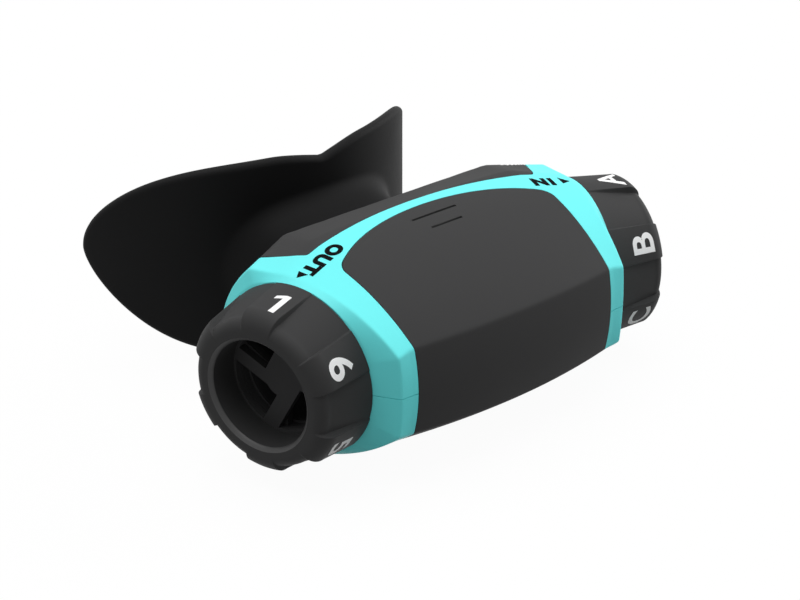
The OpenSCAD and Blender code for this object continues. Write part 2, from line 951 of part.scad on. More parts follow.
// Shell of the electronics unit, open to the rear
module front_cover() {
    color("#454545")
        placed()
            difference() {
                union() {
                    intersection() {
                        body_layer(0, wall);
                        front_zone(seam);
                        above_rest();
                    }
                    intersection() {
                        body_form(fit_gap);
                        for (side = [exhale, inhale]) {
                            for (up = [-1, 1])
                                y_rod(side * unit_screw_x, up * unit_screw_z, unit_boss_r, -reach,
                                      -plate_front - fit_gap);
                            translate([side * (back_half_w - side_wall_t / 2) - side_wall_t / 2, -reach,
                                       -body_half_h])
                                cube([side_wall_t, reach - plate_front - fit_gap, 2 * body_half_h]);
                        }
                    }
                }
                for (side = [exhale, inhale])
                    for (up = [-1, 1])
                        y_rod(side * unit_screw_x, up * unit_screw_z, shank_r + fit_gap,
                              -plate_front - unit_screw_len, -plate_front + over);
                grip_groove(groove_len, 0.3 * top_start_y);
                grip_groove(0.7 * groove_len, -0.11 * top_start_y);
                translate([-socket_w / 2 - run_gap, -board_front - socket_t - run_gap, -reach])
                    cube([socket_w + 2 * run_gap, socket_t + 2 * run_gap, reach - board_h / 2]);
            }
}

// Fine groove across the top of the cover
module grip_groove(len, y) {
    difference() {
        translate([-len / 2, y - groove_w / 2, 0])
            cube([len, groove_w, reach]);
        body_form(groove_depth);
    }
}

module unit_back_plate() {
    color("#333333")
        placed()
            difference() {
                union() {
                    intersection() {
                        body_form(wall + ledge_gap);
                        translate([-back_half_w, -plate_front, -body_half_h])
                            cube([2 * back_half_w, back_t, 2 * body_half_h]);
                    }
                    for (side = [exhale, inhale])
                        y_rod(side * (board_w / 2 - 2 * post_r), 0, post_r, -board_y, -plate_front + fit_gap);
                }
                for (side = [exhale, inhale])
                    for (up = [-1, 1]) {
                        y_rod(side * unit_screw_x, up * unit_screw_z, shank_r + fit_gap, -plate_front - over,
                              -back_y + over);
                        y_rod(side * unit_screw_x, up * unit_screw_z, head_r + fit_gap, -back_y - head_h,
                              -back_y + over);
                    }
                y_rod(0, 0, nipple_r + run_gap, -plate_front - over, -back_y + over);
            }
}

module circuit_board() {
    color("#1f6b3f")
        placed()
            translate([-board_w / 2, -board_front, -board_h / 2])
                cube([board_w, board_t, board_h]);
}

// Chips on the front and rear faces of the board, beside the battery and the sensor
module board_components() {
    chip_t = board_t;
    color("#202124")
        placed() {
            for (side = [exhale, inhale])
                translate([side * (board_w - chip_w) / 2 - chip_w / 2, -board_front - chip_t, -chip_w / 2])
                    cube([chip_w, chip_t, chip_w]);
            translate([-board_w / 4 - chip_w, -board_y, board_h / 4 - chip_w / 2])
                cube([chip_w, chip_t, chip_w]);
            translate([board_w / 4, -board_y, board_h / 4 - chip_w / 2])
                cube([1.2 * chip_w, chip_t, 0.8 * chip_w]);
        }
}

module battery() {
    color("#b9bcc2")
        placed()
            translate([-battery_w / 2, -board_front - fit_gap - battery_t, -battery_h / 2 + fit_gap])
                cube([battery_w, battery_t, battery_h]);
}

// Pressure sensor on the rear face of the board, its nipple passes the back plate
module pressure_sensor() {
    sensor_w = board_h / 3.5;
    color("#dcdcd4")
        placed()
            difference() {
                union() {
                    translate([-sensor_w / 2, -board_y, -sensor_w / 2])
                        cube([sensor_w, board_gap - run_gap, sensor_w]);
                    y_rod(0, 0, nipple_r, -board_y, -back_y + port_seal_t);
                }
                y_rod(0, 0, nipple_r / 2, -plate_front, -back_y + port_seal_t + over);
            }
}

module sensor_port_seal() {
    color("#161616")
        placed()
            difference() {
                y_rod(0, 0, port_r, -back_y, -back_y + port_seal_t);
                y_rod(0, 0, nipple_r + run_gap, -back_y - over, -back_y + port_seal_t + over);
            }
}

// Socket at the lower edge of the board, open downwards
module charging_socket() {
    socket_h = 5;
    shell_t = 0.4;
    root_h = 2;
    color("#c8ccd0")
        placed()
            translate([-socket_w / 2, -board_front - socket_t, -board_h / 2 - socket_h / 2])
                difference() {
                    cube([socket_w, socket_t, socket_h / 2 + root_h]);
                    translate([shell_t, shell_t, -over])
                        cube([socket_w - 2 * shell_t, socket_t - 2 * shell_t, socket_h / 2 + over]);
                }
}

module unit_screws() {
    color("#9aa0a6")
        placed()
            for (side = [exhale, inhale])
                for (up = [-1, 1]) {
                    y_rod(side * unit_screw_x, up * unit_screw_z, shank_r, -plate_front - unit_screw_len + over,
                          -back_y - head_h);
                    y_rod(side * unit_screw_x, up * unit_screw_z, head_r, -back_y - head_h, -back_y - fit_gap);
                }
}

// Outline of the dial between its pads, from the flange to the rim
function dial_outline(len) =
    concat([[sleeve_r, flange_end], [flange_r, flange_end], [flange_r, flange_z], [neck_r, flange_z],
            [neck_r, run_gap], [dial_r - base_step, run_gap]],
           arc_points([floor_r - floor_round, len - floor_round], floor_round, 0, 90, 6),
           [[rim_r, len], [mouth_r, len - rim_bevel], [mouth_r, disc_end], [sleeve_r, disc_end]]);

// Outline of a pad
function pad_outline(len) =
    concat([[neck_r, run_gap], [dial_r, run_gap]],
           arc_points([pad_r - pad_round, len - pad_round], pad_round, 0, 90, 6),
           [[floor_r - floor_round, len - floor_round]]);

module dial(side) {
    len = side > 0 ? dial_len + inhale_extra : dial_len;
    color("#434343")
        placed()
            on_axis(side)
                difference() {
                    union() {
                        rotate_extrude()
                            polygon(dial_outline(len));
                        for (i = [0:pad_count - 1])
                            rotate([0, 0, i * 360 / pad_count - pad_angle / 2])
                                rotate_extrude(angle = pad_angle)
                                    polygon(pad_outline(len));
                    }
                    for (i = [0:pad_count - 1])
                        rotate([0, 0, i * 360 / pad_count - side * 90])
                            translate([detent_r, 0, flange_end - ball_r + dimple_depth])
                                sphere(ball_r);
                }
}

module exhale_dial() {
    dial(exhale);
}

module inhale_dial() {
    dial(inhale);
}

// Outline of the shield, seen along Y: flatter above its tips than below, with a notch at the top
function shield_top(x) =
    let (across = abs(x) / shield_half_w)
    shield_tip_z + shield_up * pow(max(0, 1 - pow(across, 4.7)), 0.52)
        - notch_depth * pow(max(0, 1 - abs(x) / notch_half_w), 1.5);
function shield_bottom(x) =
    let (across = abs(x) / shield_half_w)
    shield_tip_z - (shield_tip_z + mid_h) * pow(max(0, 1 - pow(across, 4.1)), 0.6);

function shield_outline(steps) =
    concat([for (i = [-steps:steps]) let (x = shield_half_w * sin(90 * i / steps)) [x, shield_top(x)]],
           [for (i = [steps - 1:-1:1 - steps]) let (x = shield_half_w * sin(90 * i / steps)) [x, shield_bottom(x)]]);

// A curved sheet about the axis of the shield
module curved_sheet(r, t) {
    translate([0, shield_y + shield_r, -body_half_h - over])
        difference() {
            cylinder(r = r, h = 2 * body_half_h + shield_up);
            translate([0, 0, -over])
                cylinder(r = r - t, h = 2 * body_half_h + shield_up + 2 * over);
            translate([-reach, 0, -over])
                cube([2 * reach, reach, 2 * reach]);
        }
}

// All that lies behind a curved sheet's front half, as a cylinder of full height
module inside_sheet(r) {
    translate([0, shield_y + shield_r, -reach])
        cylinder(r = r, h = 2 * reach);
}

// What the shield's round tips cut off from its sheet, square to it
module beyond_tips() {
    translate([0, shield_y + shield_r, -reach])
        for (side = [0, 1])
            mirror([side, 0, 0])
                rotate([0, 0, tip_angle - 90])
                    cube([reach, reach, 2 * reach]);
}

// All that lies in front of the middle of the lip flange
module lip_front() {
    difference() {
        translate([-reach, shield_y + shield_r - reach, -reach])
            cube([2 * reach, reach, 2 * reach]);
        inside_sheet(lip_r - lip_t / 2);
    }
}

// Silicone mouthpiece: neck, shield, lip flange and bite tabs in one
module mouthpiece() {
    mouth_half_w = bore_half_w - mouth_tube_wall;
    mouth_half_h = bore_half_h - mouth_tube_wall;
    flange_y = shield_y + shield_t + lip_gap;
    color("#1f1f20")
        placed()
            difference() {
                union() {
                    difference() {
                        intersection() {
                            curved_sheet(shield_r, shield_t);
                            translate([0, reach, 0])
                                rotate([90, 0, 0])
                                    linear_extrude(2 * reach)
                                        polygon(shield_outline(14));
                        }
                        beyond_tips();
                    }
                    difference() {
                        union() {
                            slot(neck_half_w, neck_half_h, top_end_y, flare_end);
                            hull() {
                                slot(neck_half_w, neck_half_h, shield_y - flare_len, shield_y - flare_len + slice_t);
                                slot(flare_half_w, neck_half_h + flare, flare_end, flare_end + slice_t);
                            }
                        }
                        body_form(-soft_gap);
                        inside_sheet(shield_r - shield_t / 2);
                    }
                    intersection() {
                        slot(mouth_half_w + mouth_tube_wall / 2, mouth_half_h + mouth_tube_wall / 2, shield_y,
                             shield_y + shield_r);
                        lip_front();
                    }
                    intersection() {
                        curved_sheet(lip_r, lip_t);
                        slot(lip_half_w, lip_half_h, shield_y, reach);
                    }
                    difference() {
                        for (side = [exhale, inhale])
                            translate([side * bite_x - bite_w / 2, flange_y, -bite_t / 2]) {
                                cube([bite_w, bite_reach, bite_t]);
                                translate([0, bite_reach - bite_t, (bite_t - bite_end_h) / 2])
                                    cube([bite_w, bite_t, bite_end_h]);
                            }
                        lip_front();
                    }
                }
                slot(bore_half_w, bore_half_h, top_end_y - over, spigot_end + soft_gap);
                slot(mouth_half_w - mouth_tube_wall / 2, mouth_half_h - mouth_tube_wall / 2, top_end_y, reach);
            }
}

upper_frame();
lower_frame();
rear_cover();
air_chamber();
mouthpiece_socket();
socket_gasket();
exhale_shutter_plate();
inhale_shutter_plate();
exhale_valve_seat();
inhale_valve_seat();
exhale_valve_flap();
inhale_valve_flap();
exhale_dial_seal();
inhale_dial_seal();
exhale_detent_ball();
inhale_detent_ball();
exhale_detent_spring();
inhale_detent_spring();
frame_screws();
front_cover();
unit_back_plate();
circuit_board();
board_components();
battery();
pressure_sensor();
sensor_port_seal();
charging_socket();
unit_screws();
exhale_dial();
exhale_orifice_disc();
inhale_dial();
inhale_orifice_disc();
mouthpiece();
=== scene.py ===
import bmesh
import bpy
import json
import math
import numpy as np
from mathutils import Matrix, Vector


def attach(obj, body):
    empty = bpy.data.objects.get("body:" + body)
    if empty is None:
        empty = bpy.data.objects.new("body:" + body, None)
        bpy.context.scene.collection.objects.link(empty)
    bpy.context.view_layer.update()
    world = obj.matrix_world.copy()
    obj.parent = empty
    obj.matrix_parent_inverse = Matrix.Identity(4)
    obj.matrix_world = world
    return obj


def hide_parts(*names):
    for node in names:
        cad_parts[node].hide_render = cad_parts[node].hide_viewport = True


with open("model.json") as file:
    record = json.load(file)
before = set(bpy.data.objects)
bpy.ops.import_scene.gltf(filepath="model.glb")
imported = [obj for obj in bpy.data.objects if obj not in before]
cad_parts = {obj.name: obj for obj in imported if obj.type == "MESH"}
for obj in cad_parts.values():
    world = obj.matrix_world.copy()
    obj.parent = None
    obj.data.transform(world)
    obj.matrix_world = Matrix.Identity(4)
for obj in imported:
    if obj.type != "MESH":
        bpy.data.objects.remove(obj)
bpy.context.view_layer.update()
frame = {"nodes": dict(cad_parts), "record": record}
print("frame loaded:", len(frame["nodes"]), "nodes")

# Shapes are worked out in millimetres: X along the barrel, Y counted from the dial centres with the
# electronics unit at -Y and the mouthpiece at +Y, Z from the middle plane. restShift places them in the
# frame.
restShift = np.array((0.0, -8.0, 20.25))
beyond = 24.0  # a height above the body, and with a minus one below it, for the far ends of cutters


def placed(points):
    # in the frame and in metres
    return ((points + restShift) * 0.001).tolist()


def newObject(name, data):
    made = bpy.data.objects.new(name, data)
    bpy.context.scene.collection.objects.link(made)
    return made


def smoothStep(low, high, value):
    # 0 below low, 1 above high, and 3q^2 - 2q^3 between
    q = np.clip((value - low) / (high - low), 0.0, 1.0)
    return q * q * (3 - 2 * q)


def packedSteps(low, high, step, fineAt=(), fineHalf=0.0126, fineStep=0.0018):
    # even steps from low to high, with finer ones round the places in fineAt
    rows = [np.linspace(low, high, max(2, int(round(abs(high - low) / step)) + 1))]
    for place in fineAt:
        fine = np.arange(place - fineHalf, place + fineHalf + fineStep / 2, fineStep)
        rows[0] = rows[0][(rows[0] < fine[0] - fineStep / 2) | (rows[0] > fine[-1] + fineStep / 2)]
        rows.append(fine[(fine > low) & (fine < high)])
    return np.unique(np.concatenate(rows + [np.array((low, high))]).round(7))


def gridPatch(points, centre=(0, 0, 0), loopRows=False, loopColumns=False):
    # Four-cornered faces between neighbouring points of a grid, closed round where it loops. All are
    # turned round where their areas, along the lines from the centre, add up to less than nothing.
    rows, columns = points.shape[:2]
    index = np.arange(rows * columns).reshape(rows, columns)
    if loopRows:
        index = np.vstack((index, index[:1]))
    if loopColumns:
        index = np.hstack((index, index[:, :1]))
    faces = np.stack((index[:-1, :-1], index[:-1, 1:], index[1:, 1:], index[1:, :-1]), axis=-1)
    faces = faces.reshape(-1, 4)
    corners = points.reshape(-1, 3)[faces]
    area = np.cross(corners[:, 2] - corners[:, 0], corners[:, 3] - corners[:, 1])
    outward = ((corners.mean(axis=1) - np.array(centre)) * area).sum()
    return points, faces if outward > 0 else faces[:, ::-1], 0


def surfacePiece(name, patches, body, nodes, materials, merge=0.004, sharp=38, recalc=False):
    # one object from several grids: (points, faces, material number) with the points in millimetres
    allPoints, allFaces, allNumbers, count = [], [], [], 0
    for points, faces, number in patches:
        flat = points.reshape(-1, 3)
        allPoints.append(flat)
        allFaces.append(faces + count)
        allNumbers.append(np.full(len(faces), number))
        count += len(flat)
    mesh = bpy.data.meshes.new(name)
    mesh.from_pydata(placed(np.vstack(allPoints)), [], np.vstack(allFaces).tolist())
    mesh.polygons.foreach_set("material_index", np.concatenate(allNumbers).astype(np.int32))
    work = bmesh.new()
    work.from_mesh(mesh)
    bmesh.ops.remove_doubles(work, verts=work.verts, dist=merge * 0.001)
    bmesh.ops.dissolve_degenerate(work, edges=work.edges, dist=merge * 0.0005)
    bmesh.ops.delete(work, geom=[v for v in work.verts if not v.link_faces], context="VERTS")
    if recalc:
        bmesh.ops.recalc_face_normals(work, faces=work.faces)
    work.to_mesh(mesh)
    work.free()
    for material in materials:
        mesh.materials.append(material)
    mesh.polygons.foreach_set("use_smooth", np.ones(len(mesh.polygons), dtype=bool))
    mesh.set_sharp_from_angle(angle=math.radians(sharp))
    piece = newObject(name, mesh)
    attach(piece, body)
    if nodes:
        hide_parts(*nodes)
    return piece


def addWall(piece, rimWidth):
    # the sheet gets its wall inwards, and its open rims a small rounding
    wall = piece.modifiers.new("wall", "SOLIDIFY")
    wall.thickness = seams["wall"] * 0.001
    wall.offset = -1
    addRim(piece, rimWidth, angle=50)


def addRim(piece, width, angle=60):
    rim = piece.modifiers.new("rim", "BEVEL")
    rim.width = width * 0.001
    rim.segments = 2
    rim.limit_method = "ANGLE"
    rim.angle_limit = math.radians(angle)
    rim.harden_normals = True
    rim.use_clamp_overlap = True


def applyAll(piece):
    # the modifiers so far become the mesh
    depsgraph = bpy.context.evaluated_depsgraph_get()
    made = bpy.data.meshes.new_from_object(piece.evaluated_get(depsgraph))
    old = piece.data
    piece.modifiers.clear()
    piece.data = made
    bpy.data.meshes.remove(old)


def cutWith(piece, patches):
    # takes closed shapes out of a closed piece
    cutter = surfacePiece(piece.name + "Cutter", patches, "body", (), (), recalc=True)
    cut = piece.modifiers.new("cut", "BOOLEAN")
    cut.operation = "DIFFERENCE"
    cut.solver = "EXACT"
    cut.object = cutter
    applyAll(piece)
    mesh = cutter.data
    bpy.data.objects.remove(cutter)
    bpy.data.meshes.remove(mesh)


def closedLoft(loops):
    # a run of closed loops with both ends filled by drawing the end loops in to their centres
    first, last = loops[:1].mean(axis=1, keepdims=True), loops[-1:].mean(axis=1, keepdims=True)
    points = np.concatenate((np.broadcast_to(first, loops[:1].shape), loops,
                             np.broadcast_to(last, loops[-1:].shape)), axis=0)
    return gridPatch(points, points.reshape(-1, 3).mean(axis=0), loopColumns=True)


def upright(x, y, low, high):
    # a closed prism on an outline; low and high are one height each, or one for each corner
    return closedLoft(np.stack([np.stack(np.broadcast_arrays(x, y, z), -1) for z in (low, high)]))


def screwRods(form, sides=40):
    # cutters for the holes of a pair of screws, from below the object up to the floors of the holes
    x, y = form["screwPlace"]
    angle = np.arange(sides) * (2 * math.pi / sides)
    return [upright(side * x + form["screwHole"] * np.cos(angle), y + form["screwHole"] * np.sin(angle),
                    -beyond, form["screwFloor"]) for side in (-1, 1)]


def feed(tree, node, inputs):
    # each input of a node gets its value, or a link where the socket of another node is given
    for name, value in inputs.items():
        if isinstance(value, bpy.types.NodeSocket):
            tree.links.new(value, node.inputs[name])
        else:
            node.inputs[name].default_value = value


def addNode(tree, kind, inputs, **settings):
    node = tree.nodes.new("ShaderNode" + kind)
    for name, value in settings.items():
        setattr(node, name, value)
    feed(tree, node, inputs)
    return node


def mathNode(tree, operation, *values):
    return addNode(tree, "Math", dict(enumerate(values)), operation=operation).outputs[0]


def newMaterial(name):
    material = bpy.data.materials.new(name)
    material.use_nodes = True
    return material, material.node_tree, material.node_tree.nodes["Principled BSDF"]


grainForm = {"detail": 3.0, "cloudScale": 90.0, "cloudDetail": 4.0, "bumpStrength": 0.35}


def makeMouldedGrain():
    # fine grain of a moulded part: colour that varies a little, roughness, and the height for a bump
    group = bpy.data.node_groups.new("mouldedGrain", "ShaderNodeTree")
    for name, kind, value in (("Vector", "Vector", (0, 0, 0)), ("Color", "Color", (0.5, 0.5, 0.5, 1)),
                              ("Grain Scale", "Float", 2500.0), ("Tone Change", "Float", 0.08),
                              ("Roughness", "Float", 0.6), ("Roughness Change", "Float", 0.08)):
        made = group.interface.new_socket(name=name, in_out="INPUT", socket_type="NodeSocket" + kind)
        made.default_value = value
    for name, kind in (("Color", "Color"), ("Roughness", "Float"), ("Height", "Float")):
        group.interface.new_socket(name=name, in_out="OUTPUT", socket_type="NodeSocket" + kind)
    given = group.nodes.new("NodeGroupInput").outputs
    result = group.nodes.new("NodeGroupOutput")
    grain = addNode(group, "TexNoise", {"Vector": given["Vector"], "Scale": given["Grain Scale"],
                                        "Detail": grainForm["detail"]}).outputs["Fac"]
    cloud = addNode(group, "TexNoise", {"Vector": given["Vector"], "Scale": grainForm["cloudScale"],
                                        "Detail": grainForm["cloudDetail"]}).outputs["Fac"]
    centred = mathNode(group, "SUBTRACT", mathNode(group, "ADD", grain, cloud), 1.0)
    tone = mathNode(group, "MULTIPLY_ADD", centred, given["Tone Change"], 1.0)
    shade = addNode(group, "VectorMath", {0: given["Color"], "Scale": tone}, operation="SCALE")
    rough = mathNode(group, "MULTIPLY_ADD", centred, given["Roughness Change"], given["Roughness"])
    feed(group, result, {"Color": shade.outputs[0], "Roughness": rough, "Height": grain})
    return group


mouldedGrain = makeMouldedGrain()


def moulded(name, colour, roughness, bumpDepth=0.012, grainScale=2500.0, toneChange=0.08,
            roughnessChange=0.08, specular=0.3, metallic=0.0, coat=0.0):
    # a moulded plastic or rubber: mouldedGrain on Object coordinates feeds colour, roughness and bump
    material, tree, shader = newMaterial(name)
    where = tree.nodes.new("ShaderNodeTexCoord")
    grain = addNode(tree, "Group", {"Vector": where.outputs["Object"], "Color": (*colour, 1),
                                    "Grain Scale": grainScale, "Tone Change": toneChange,
                                    "Roughness": roughness, "Roughness Change": roughnessChange},
                    node_tree=mouldedGrain)
    bump = addNode(tree, "Bump", {"Strength": grainForm["bumpStrength"], "Distance": bumpDepth * 0.001,
                                  "Height": grain.outputs["Height"]})
    feed(tree, shader, {"Base Color": grain.outputs["Color"], "Roughness": grain.outputs["Roughness"],
                        "Normal": bump.outputs["Normal"], "Specular IOR Level": specular,
                        "Metallic": metallic, "Coat Weight": coat})
    return material


finishes = {
    "aqua": moulded("aquaSatin", (0.175, 0.93, 0.94), 0.5, specular=0.2, toneChange=0.02),
    "dark_grey": moulded("coverCharcoal", (0.043, 0.043, 0.0435), 0.62, specular=0.1),
    "dial_grey": moulded("dialCharcoal", (0.040, 0.040, 0.0405), 0.6, specular=0.12),
    "inner_dark": moulded("innerCharcoal", (0.050, 0.050, 0.051), 0.65, specular=0.1),
    "silicone": moulded("blackSilicone", (0.0058, 0.0058, 0.006), 0.6, specular=0.1, grainScale=1800.0,
                        toneChange=0.05),
    "seal_rubber": moulded("sealRubber", (0.02, 0.02, 0.02), 0.7),
    "valve_white": moulded("valveIvory", (0.72, 0.72, 0.70), 0.5, specular=0.35, toneChange=0.03),
    "steel": moulded("turnedSteel", (0.60, 0.61, 0.63), 0.32, metallic=1.0, grainScale=4000.0,
                     toneChange=0.1, roughnessChange=0.2),
    "board_green": moulded("boardGreen", (0.03, 0.20, 0.09), 0.38, specular=0.5, coat=0.3,
                           grainScale=1200.0, toneChange=0.2),
    "chip_black": moulded("chipBlack", (0.03, 0.03, 0.032), 0.5, specular=0.35),
    "battery_foil": moulded("batteryFoil", (0.60, 0.61, 0.63), 0.42, metallic=0.8, grainScale=700.0,
                            bumpDepth=0.05, toneChange=0.15, roughnessChange=0.25),
    "sensor_white": moulded("sensorIvory", (0.75, 0.74, 0.70), 0.55, toneChange=0.03),
    "markWhite": moulded("markWhite", (0.96, 0.96, 0.96), 0.55, specular=0.2, toneChange=0.02),
    "markBlack": moulded("markBlack", (0.003, 0.0035, 0.0035), 0.65, specular=0.03, toneChange=0.02),
    # painted shade: the dial's charcoal made darker for the shade inside the mouth's bore
    "borePaintedShade": moulded("borePaintedShadeCharcoal", (0.036, 0.036, 0.0365), 0.65, specular=0.1),
    # painted highlight: the dial's charcoal made lighter for the light that the rim's bevel catches; its
    # lower roughness and higher specular are a real smoother finish
    "rimSmoothPaintedHighlight": moulded("rimPaintedHighlightCharcoal", (0.055, 0.055, 0.0555), 0.45, specular=0.35),
}

for part in frame["record"]["subparts"]:
    node = frame["nodes"][part["node"]]
    node.data.materials.clear()
    node.data.materials.append(finishes[part["material_slot"]])
print("materials made:", len(finishes))


barrel = {
    "coverHalf": 25.7,      # half width of the middle section, at the sides of the front cover
    "dialX": 36.0,          # centre of each dial circle
    "toe": math.radians(15.6),
    "endDepth": 1.5,        # end outline behind the dial's plane
    "dialRadius": 17.3,
    "holeRadius": 14.3,
    "restHeight": -20.25,   # flat underside
    "shares": (0.126, 0.56, 0.70),  # where face, slope and top end, as shares of the way round
    "creaseHalf": 0.0085,   # half width of the rounding of the creases, as such a share
    # the outline across the middle, what it loses towards the cover's sides, and the end outline
    "middle": {"front": 22.3, "crease": 9.2, "bulge": 1.1, "slopeEnd": 9.1, "top": 20.6, "back": 16.4,
               "backHeight": 18.6, "rear": 24.0},
    "sideLoss": {"front": 2.1, "crease": 0.4, "top": 0.8, "rear": 0.48},
    "end": {"front": 21.8, "crease": 8.2, "bulge": 0.605, "slopeEnd": 3.0, "top": 18.0, "back": 11.5,
            "backHeight": 17.0, "rear": 19.0},
}


def sectionAt(s, front, crease, bulge, slopeEnd, top, back, backHeight, rear):
    # From the front mid-line (s = 0) to the rear mid-line (s = 1): a flat arc up the face to the crease,
    # an arc up the slope that ends level, a straight top, and an arc about the mid plane down the rear.
    faceEnd, slopeShare, topShare = barrel["shares"]
    faceR = (crease ** 2 + bulge ** 2) / (2 * bulge)
    turn = np.arcsin(crease / faceR) * np.clip(s / faceEnd, 0, 1)
    faceY, faceZ = -front - bulge + faceR - faceR * np.cos(turn), faceR * np.sin(turn)
    run, rise = slopeEnd + front, top - crease
    slopeR = (run ** 2 + rise ** 2) / (2 * rise)
    lean = np.arcsin(run / slopeR) * (1 - np.clip((s - faceEnd) / (slopeShare - faceEnd), 0, 1))
    slopeY, slopeZ = slopeEnd - slopeR * np.sin(lean), top - slopeR + slopeR * np.cos(lean)
    along = np.clip((s - slopeShare) / (topShare - slopeShare), 0, 1)
    topY, topZ = slopeEnd + (back - slopeEnd) * along, top + (backHeight - top) * along
    rearC = (rear ** 2 - back ** 2 - backHeight ** 2) / (2 * (rear - back))
    rearR = rear - rearC
    drop = np.arctan2(backHeight, back - rearC) * (1 - np.clip((s - topShare) / (1 - topShare), 0, 1))
    rearY, rearZ = rearC + rearR * np.cos(drop), rearR * np.sin(drop)
    y = np.where(s < faceEnd, faceY,
                 np.where(s < slopeShare, slopeY, np.where(s < topShare, topY, rearY)))
    z = np.where(s < faceEnd, faceZ,
                 np.where(s < slopeShare, slopeZ, np.where(s < topShare, topZ, rearZ)))
    return y, z


def folded(t):
    # t beyond the rear mid-line, or below 0, lies on the lower half: share of the way and which half
    s = np.abs(t)
    half = np.where(t < 0, -1.0, 1.0) * np.where(s > 1, -1.0, 1.0)
    return np.where(s > 1, 2 - s, s), half


def middleSection(x, t):
    s, half = folded(t)
    sag = np.minimum(np.abs(x) / barrel["coverHalf"], 1) ** 2
    loss = barrel["sideLoss"]
    form = {name: value - loss.get(name, 0) * sag for name, value in barrel["middle"].items()}
    y, z = sectionAt(s, **form)
    return y, z * half


def toed(depth, across):
    # X and Y of a place by the +X dial, whose axis is toed to the front: depth along the axis from the
    # dial's plane, across from the axis to the rear
    toe = barrel["toe"]
    return (barrel["dialX"] + depth * math.cos(toe) + across * math.sin(toe),
            across * math.cos(toe) - depth * math.sin(toe))


def endSection(t):
    # the outline where the ring's outer side ends, in the toed plane behind the +X dial
    s, half = folded(t)
    across, z = sectionAt(s, **barrel["end"])
    return *toed(-barrel["endDepth"], across), z * half


# places and weights of the averages that round the creases
softTaps = list(zip(np.linspace(-1, 1, 7), np.array((1, 2, 3, 4, 3, 2, 1)) / 16))


def bodyPoint(x, t):
    # Middle section up to the cover's sides, then straight lines to the end outline, each crease rounded
    # by an average over neighbours. t runs from the front mid-line (0) to the rear one (1 or -1).
    y, z = 0.0, 0.0
    for tap, weight in softTaps:
        place = t + tap * barrel["creaseHalf"]
        midY, midZ = middleSection(x, place)
        endX, endY, endZ = endSection(place)
        w = np.clip((np.abs(x) - barrel["coverHalf"]) / (endX - barrel["coverHalf"]), 0, 1)
        y = y + weight * (midY * (1 - w) + endY * w)
        z = z + weight * (midZ * (1 - w) + endZ * w)
    return y, z


def placeAt(x, y):
    # the t of a Y on the upper half, by halving
    low, high = np.zeros(np.broadcast(x, y).shape), np.ones(np.broadcast(x, y).shape)
    for step in range(26):
        middle = (low + high) / 2
        under = bodyPoint(x, middle)[0] < y
        low, high = np.where(under, middle, low), np.where(under, high, middle)
    return (low + high) / 2


def topHeight(x, y):
    return bodyPoint(x, placeAt(x, y))[1]


seams = {
    "gap": 0.12,          # open seam on each side of the frame's edges
    "wall": 1.8,
    # sides of the front cover: lean, from and to which Y, and the Y where the width is coverHalf
    "coverLean": (0.096, -23.0, -1.5, -12.0),
    # front edge of the top strip: Y at its middle, fall to its corners, shares of the square and the
    # fourth power in the fall, X of the corners and their rounding
    "stripFront": (6.7, 8.1, 0.8, 0.2), "frontCorner": 26.7, "frontRound": 1.8,
    # its rear edge: Y at the middle and fall, corner, slope of the sides, their widest place, softness
    "stripRear": (9.3, 4.2), "rearCorner": (29.0, 5.1), "rearSlope": 1.58, "rearWidest": (34.0, 13.0),
    "rearSoft": 0.45,
    "rearGuess": 27.0,    # half width of the rear cover from which the search for it starts
}


def coverSide(y):
    # half width of the front cover: its side edges turn in a little towards the front
    lean, front, rear, level = seams["coverLean"]
    return barrel["coverHalf"] + lean * (np.clip(y, front, rear) - level)


def sideAt(edge, guess, t, inset, share=1.0):
    # X at a share of a cover's half width on rows of the body, found by trying a few times
    x = share * np.full(np.shape(t), guess)
    for step in range(8):
        x = share * (edge(bodyPoint(x, t)[0]) - inset)
    return x


def cornerDrop(x, corner, radius):
    # how far a quarter circle at a corner falls behind a straight edge
    q = np.clip((np.abs(x) - (corner - radius)) / radius, 0, 1)
    return radius * (1 - np.sqrt(np.maximum(0, 1 - q * q)))


def stripFront(u):
    # front edge of the top strip, for u from -1 to 1 between the front cover's corners
    across = np.abs(u)
    middle, fall, square, fourth = seams["stripFront"]
    corner = seams["frontCorner"]
    return (middle - fall * (square * across ** 2 + fourth * across ** 4)
            - cornerDrop(corner * u, corner, seams["frontRound"]))


def stripRear(x):
    # front edge of the rear cover: a shallow arc that turns softly into the straight sides
    (middle, fall), (cornerX, cornerY) = seams["stripRear"], seams["rearCorner"]
    arc = middle - fall * (x / cornerX) ** 2
    side = cornerY + seams["rearSlope"] * (np.abs(x) - cornerX)
    return (arc + side) / 2 + np.sqrt(((arc - side) / 2) ** 2 + seams["rearSoft"] ** 2)


def rearHalfWidth(y):
    # the rear cover widens from just before its front corner to the crease behind the top
    x = np.linspace(seams["rearCorner"][0] - 0.1, seams["rearWidest"][0], 103)
    return np.interp(y, stripRear(x), x)


def rearSideAt(t, inset):
    return sideAt(rearHalfWidth, seams["rearGuess"], t, inset)


def resting(points):
    # the underside is cut flat
    points[..., 2] = np.maximum(points[..., 2], barrel["restHeight"])
    return points


def bodyPatch(x, t):
    y, z = bodyPoint(x, t)
    return gridPatch(resting(np.stack((x, y, z), axis=-1)))


frontCover = {
    "grooves": ((5.5, 2.73), (3.85, -1.0)),   # half length and Y of the two grip grooves
    "grooveHalf": 0.3,
    "grooveDepth": 0.4,
    "chargeHole": (0.0, -15.6, 4.1, 1.5),     # centre X and Y, half length and half width under the cover
    "chargeTop": -10.0,
    "straightTo": 0.22,     # the grid's rows are straight up to this share of the way round
    "cornerShare": 0.045,   # end of the half width in which its columns follow the rounded corners
    "columnStep": 0.05, "rowStep": 0.012,
    "wallRim": 0.2, "holeRim": 0.07,
}


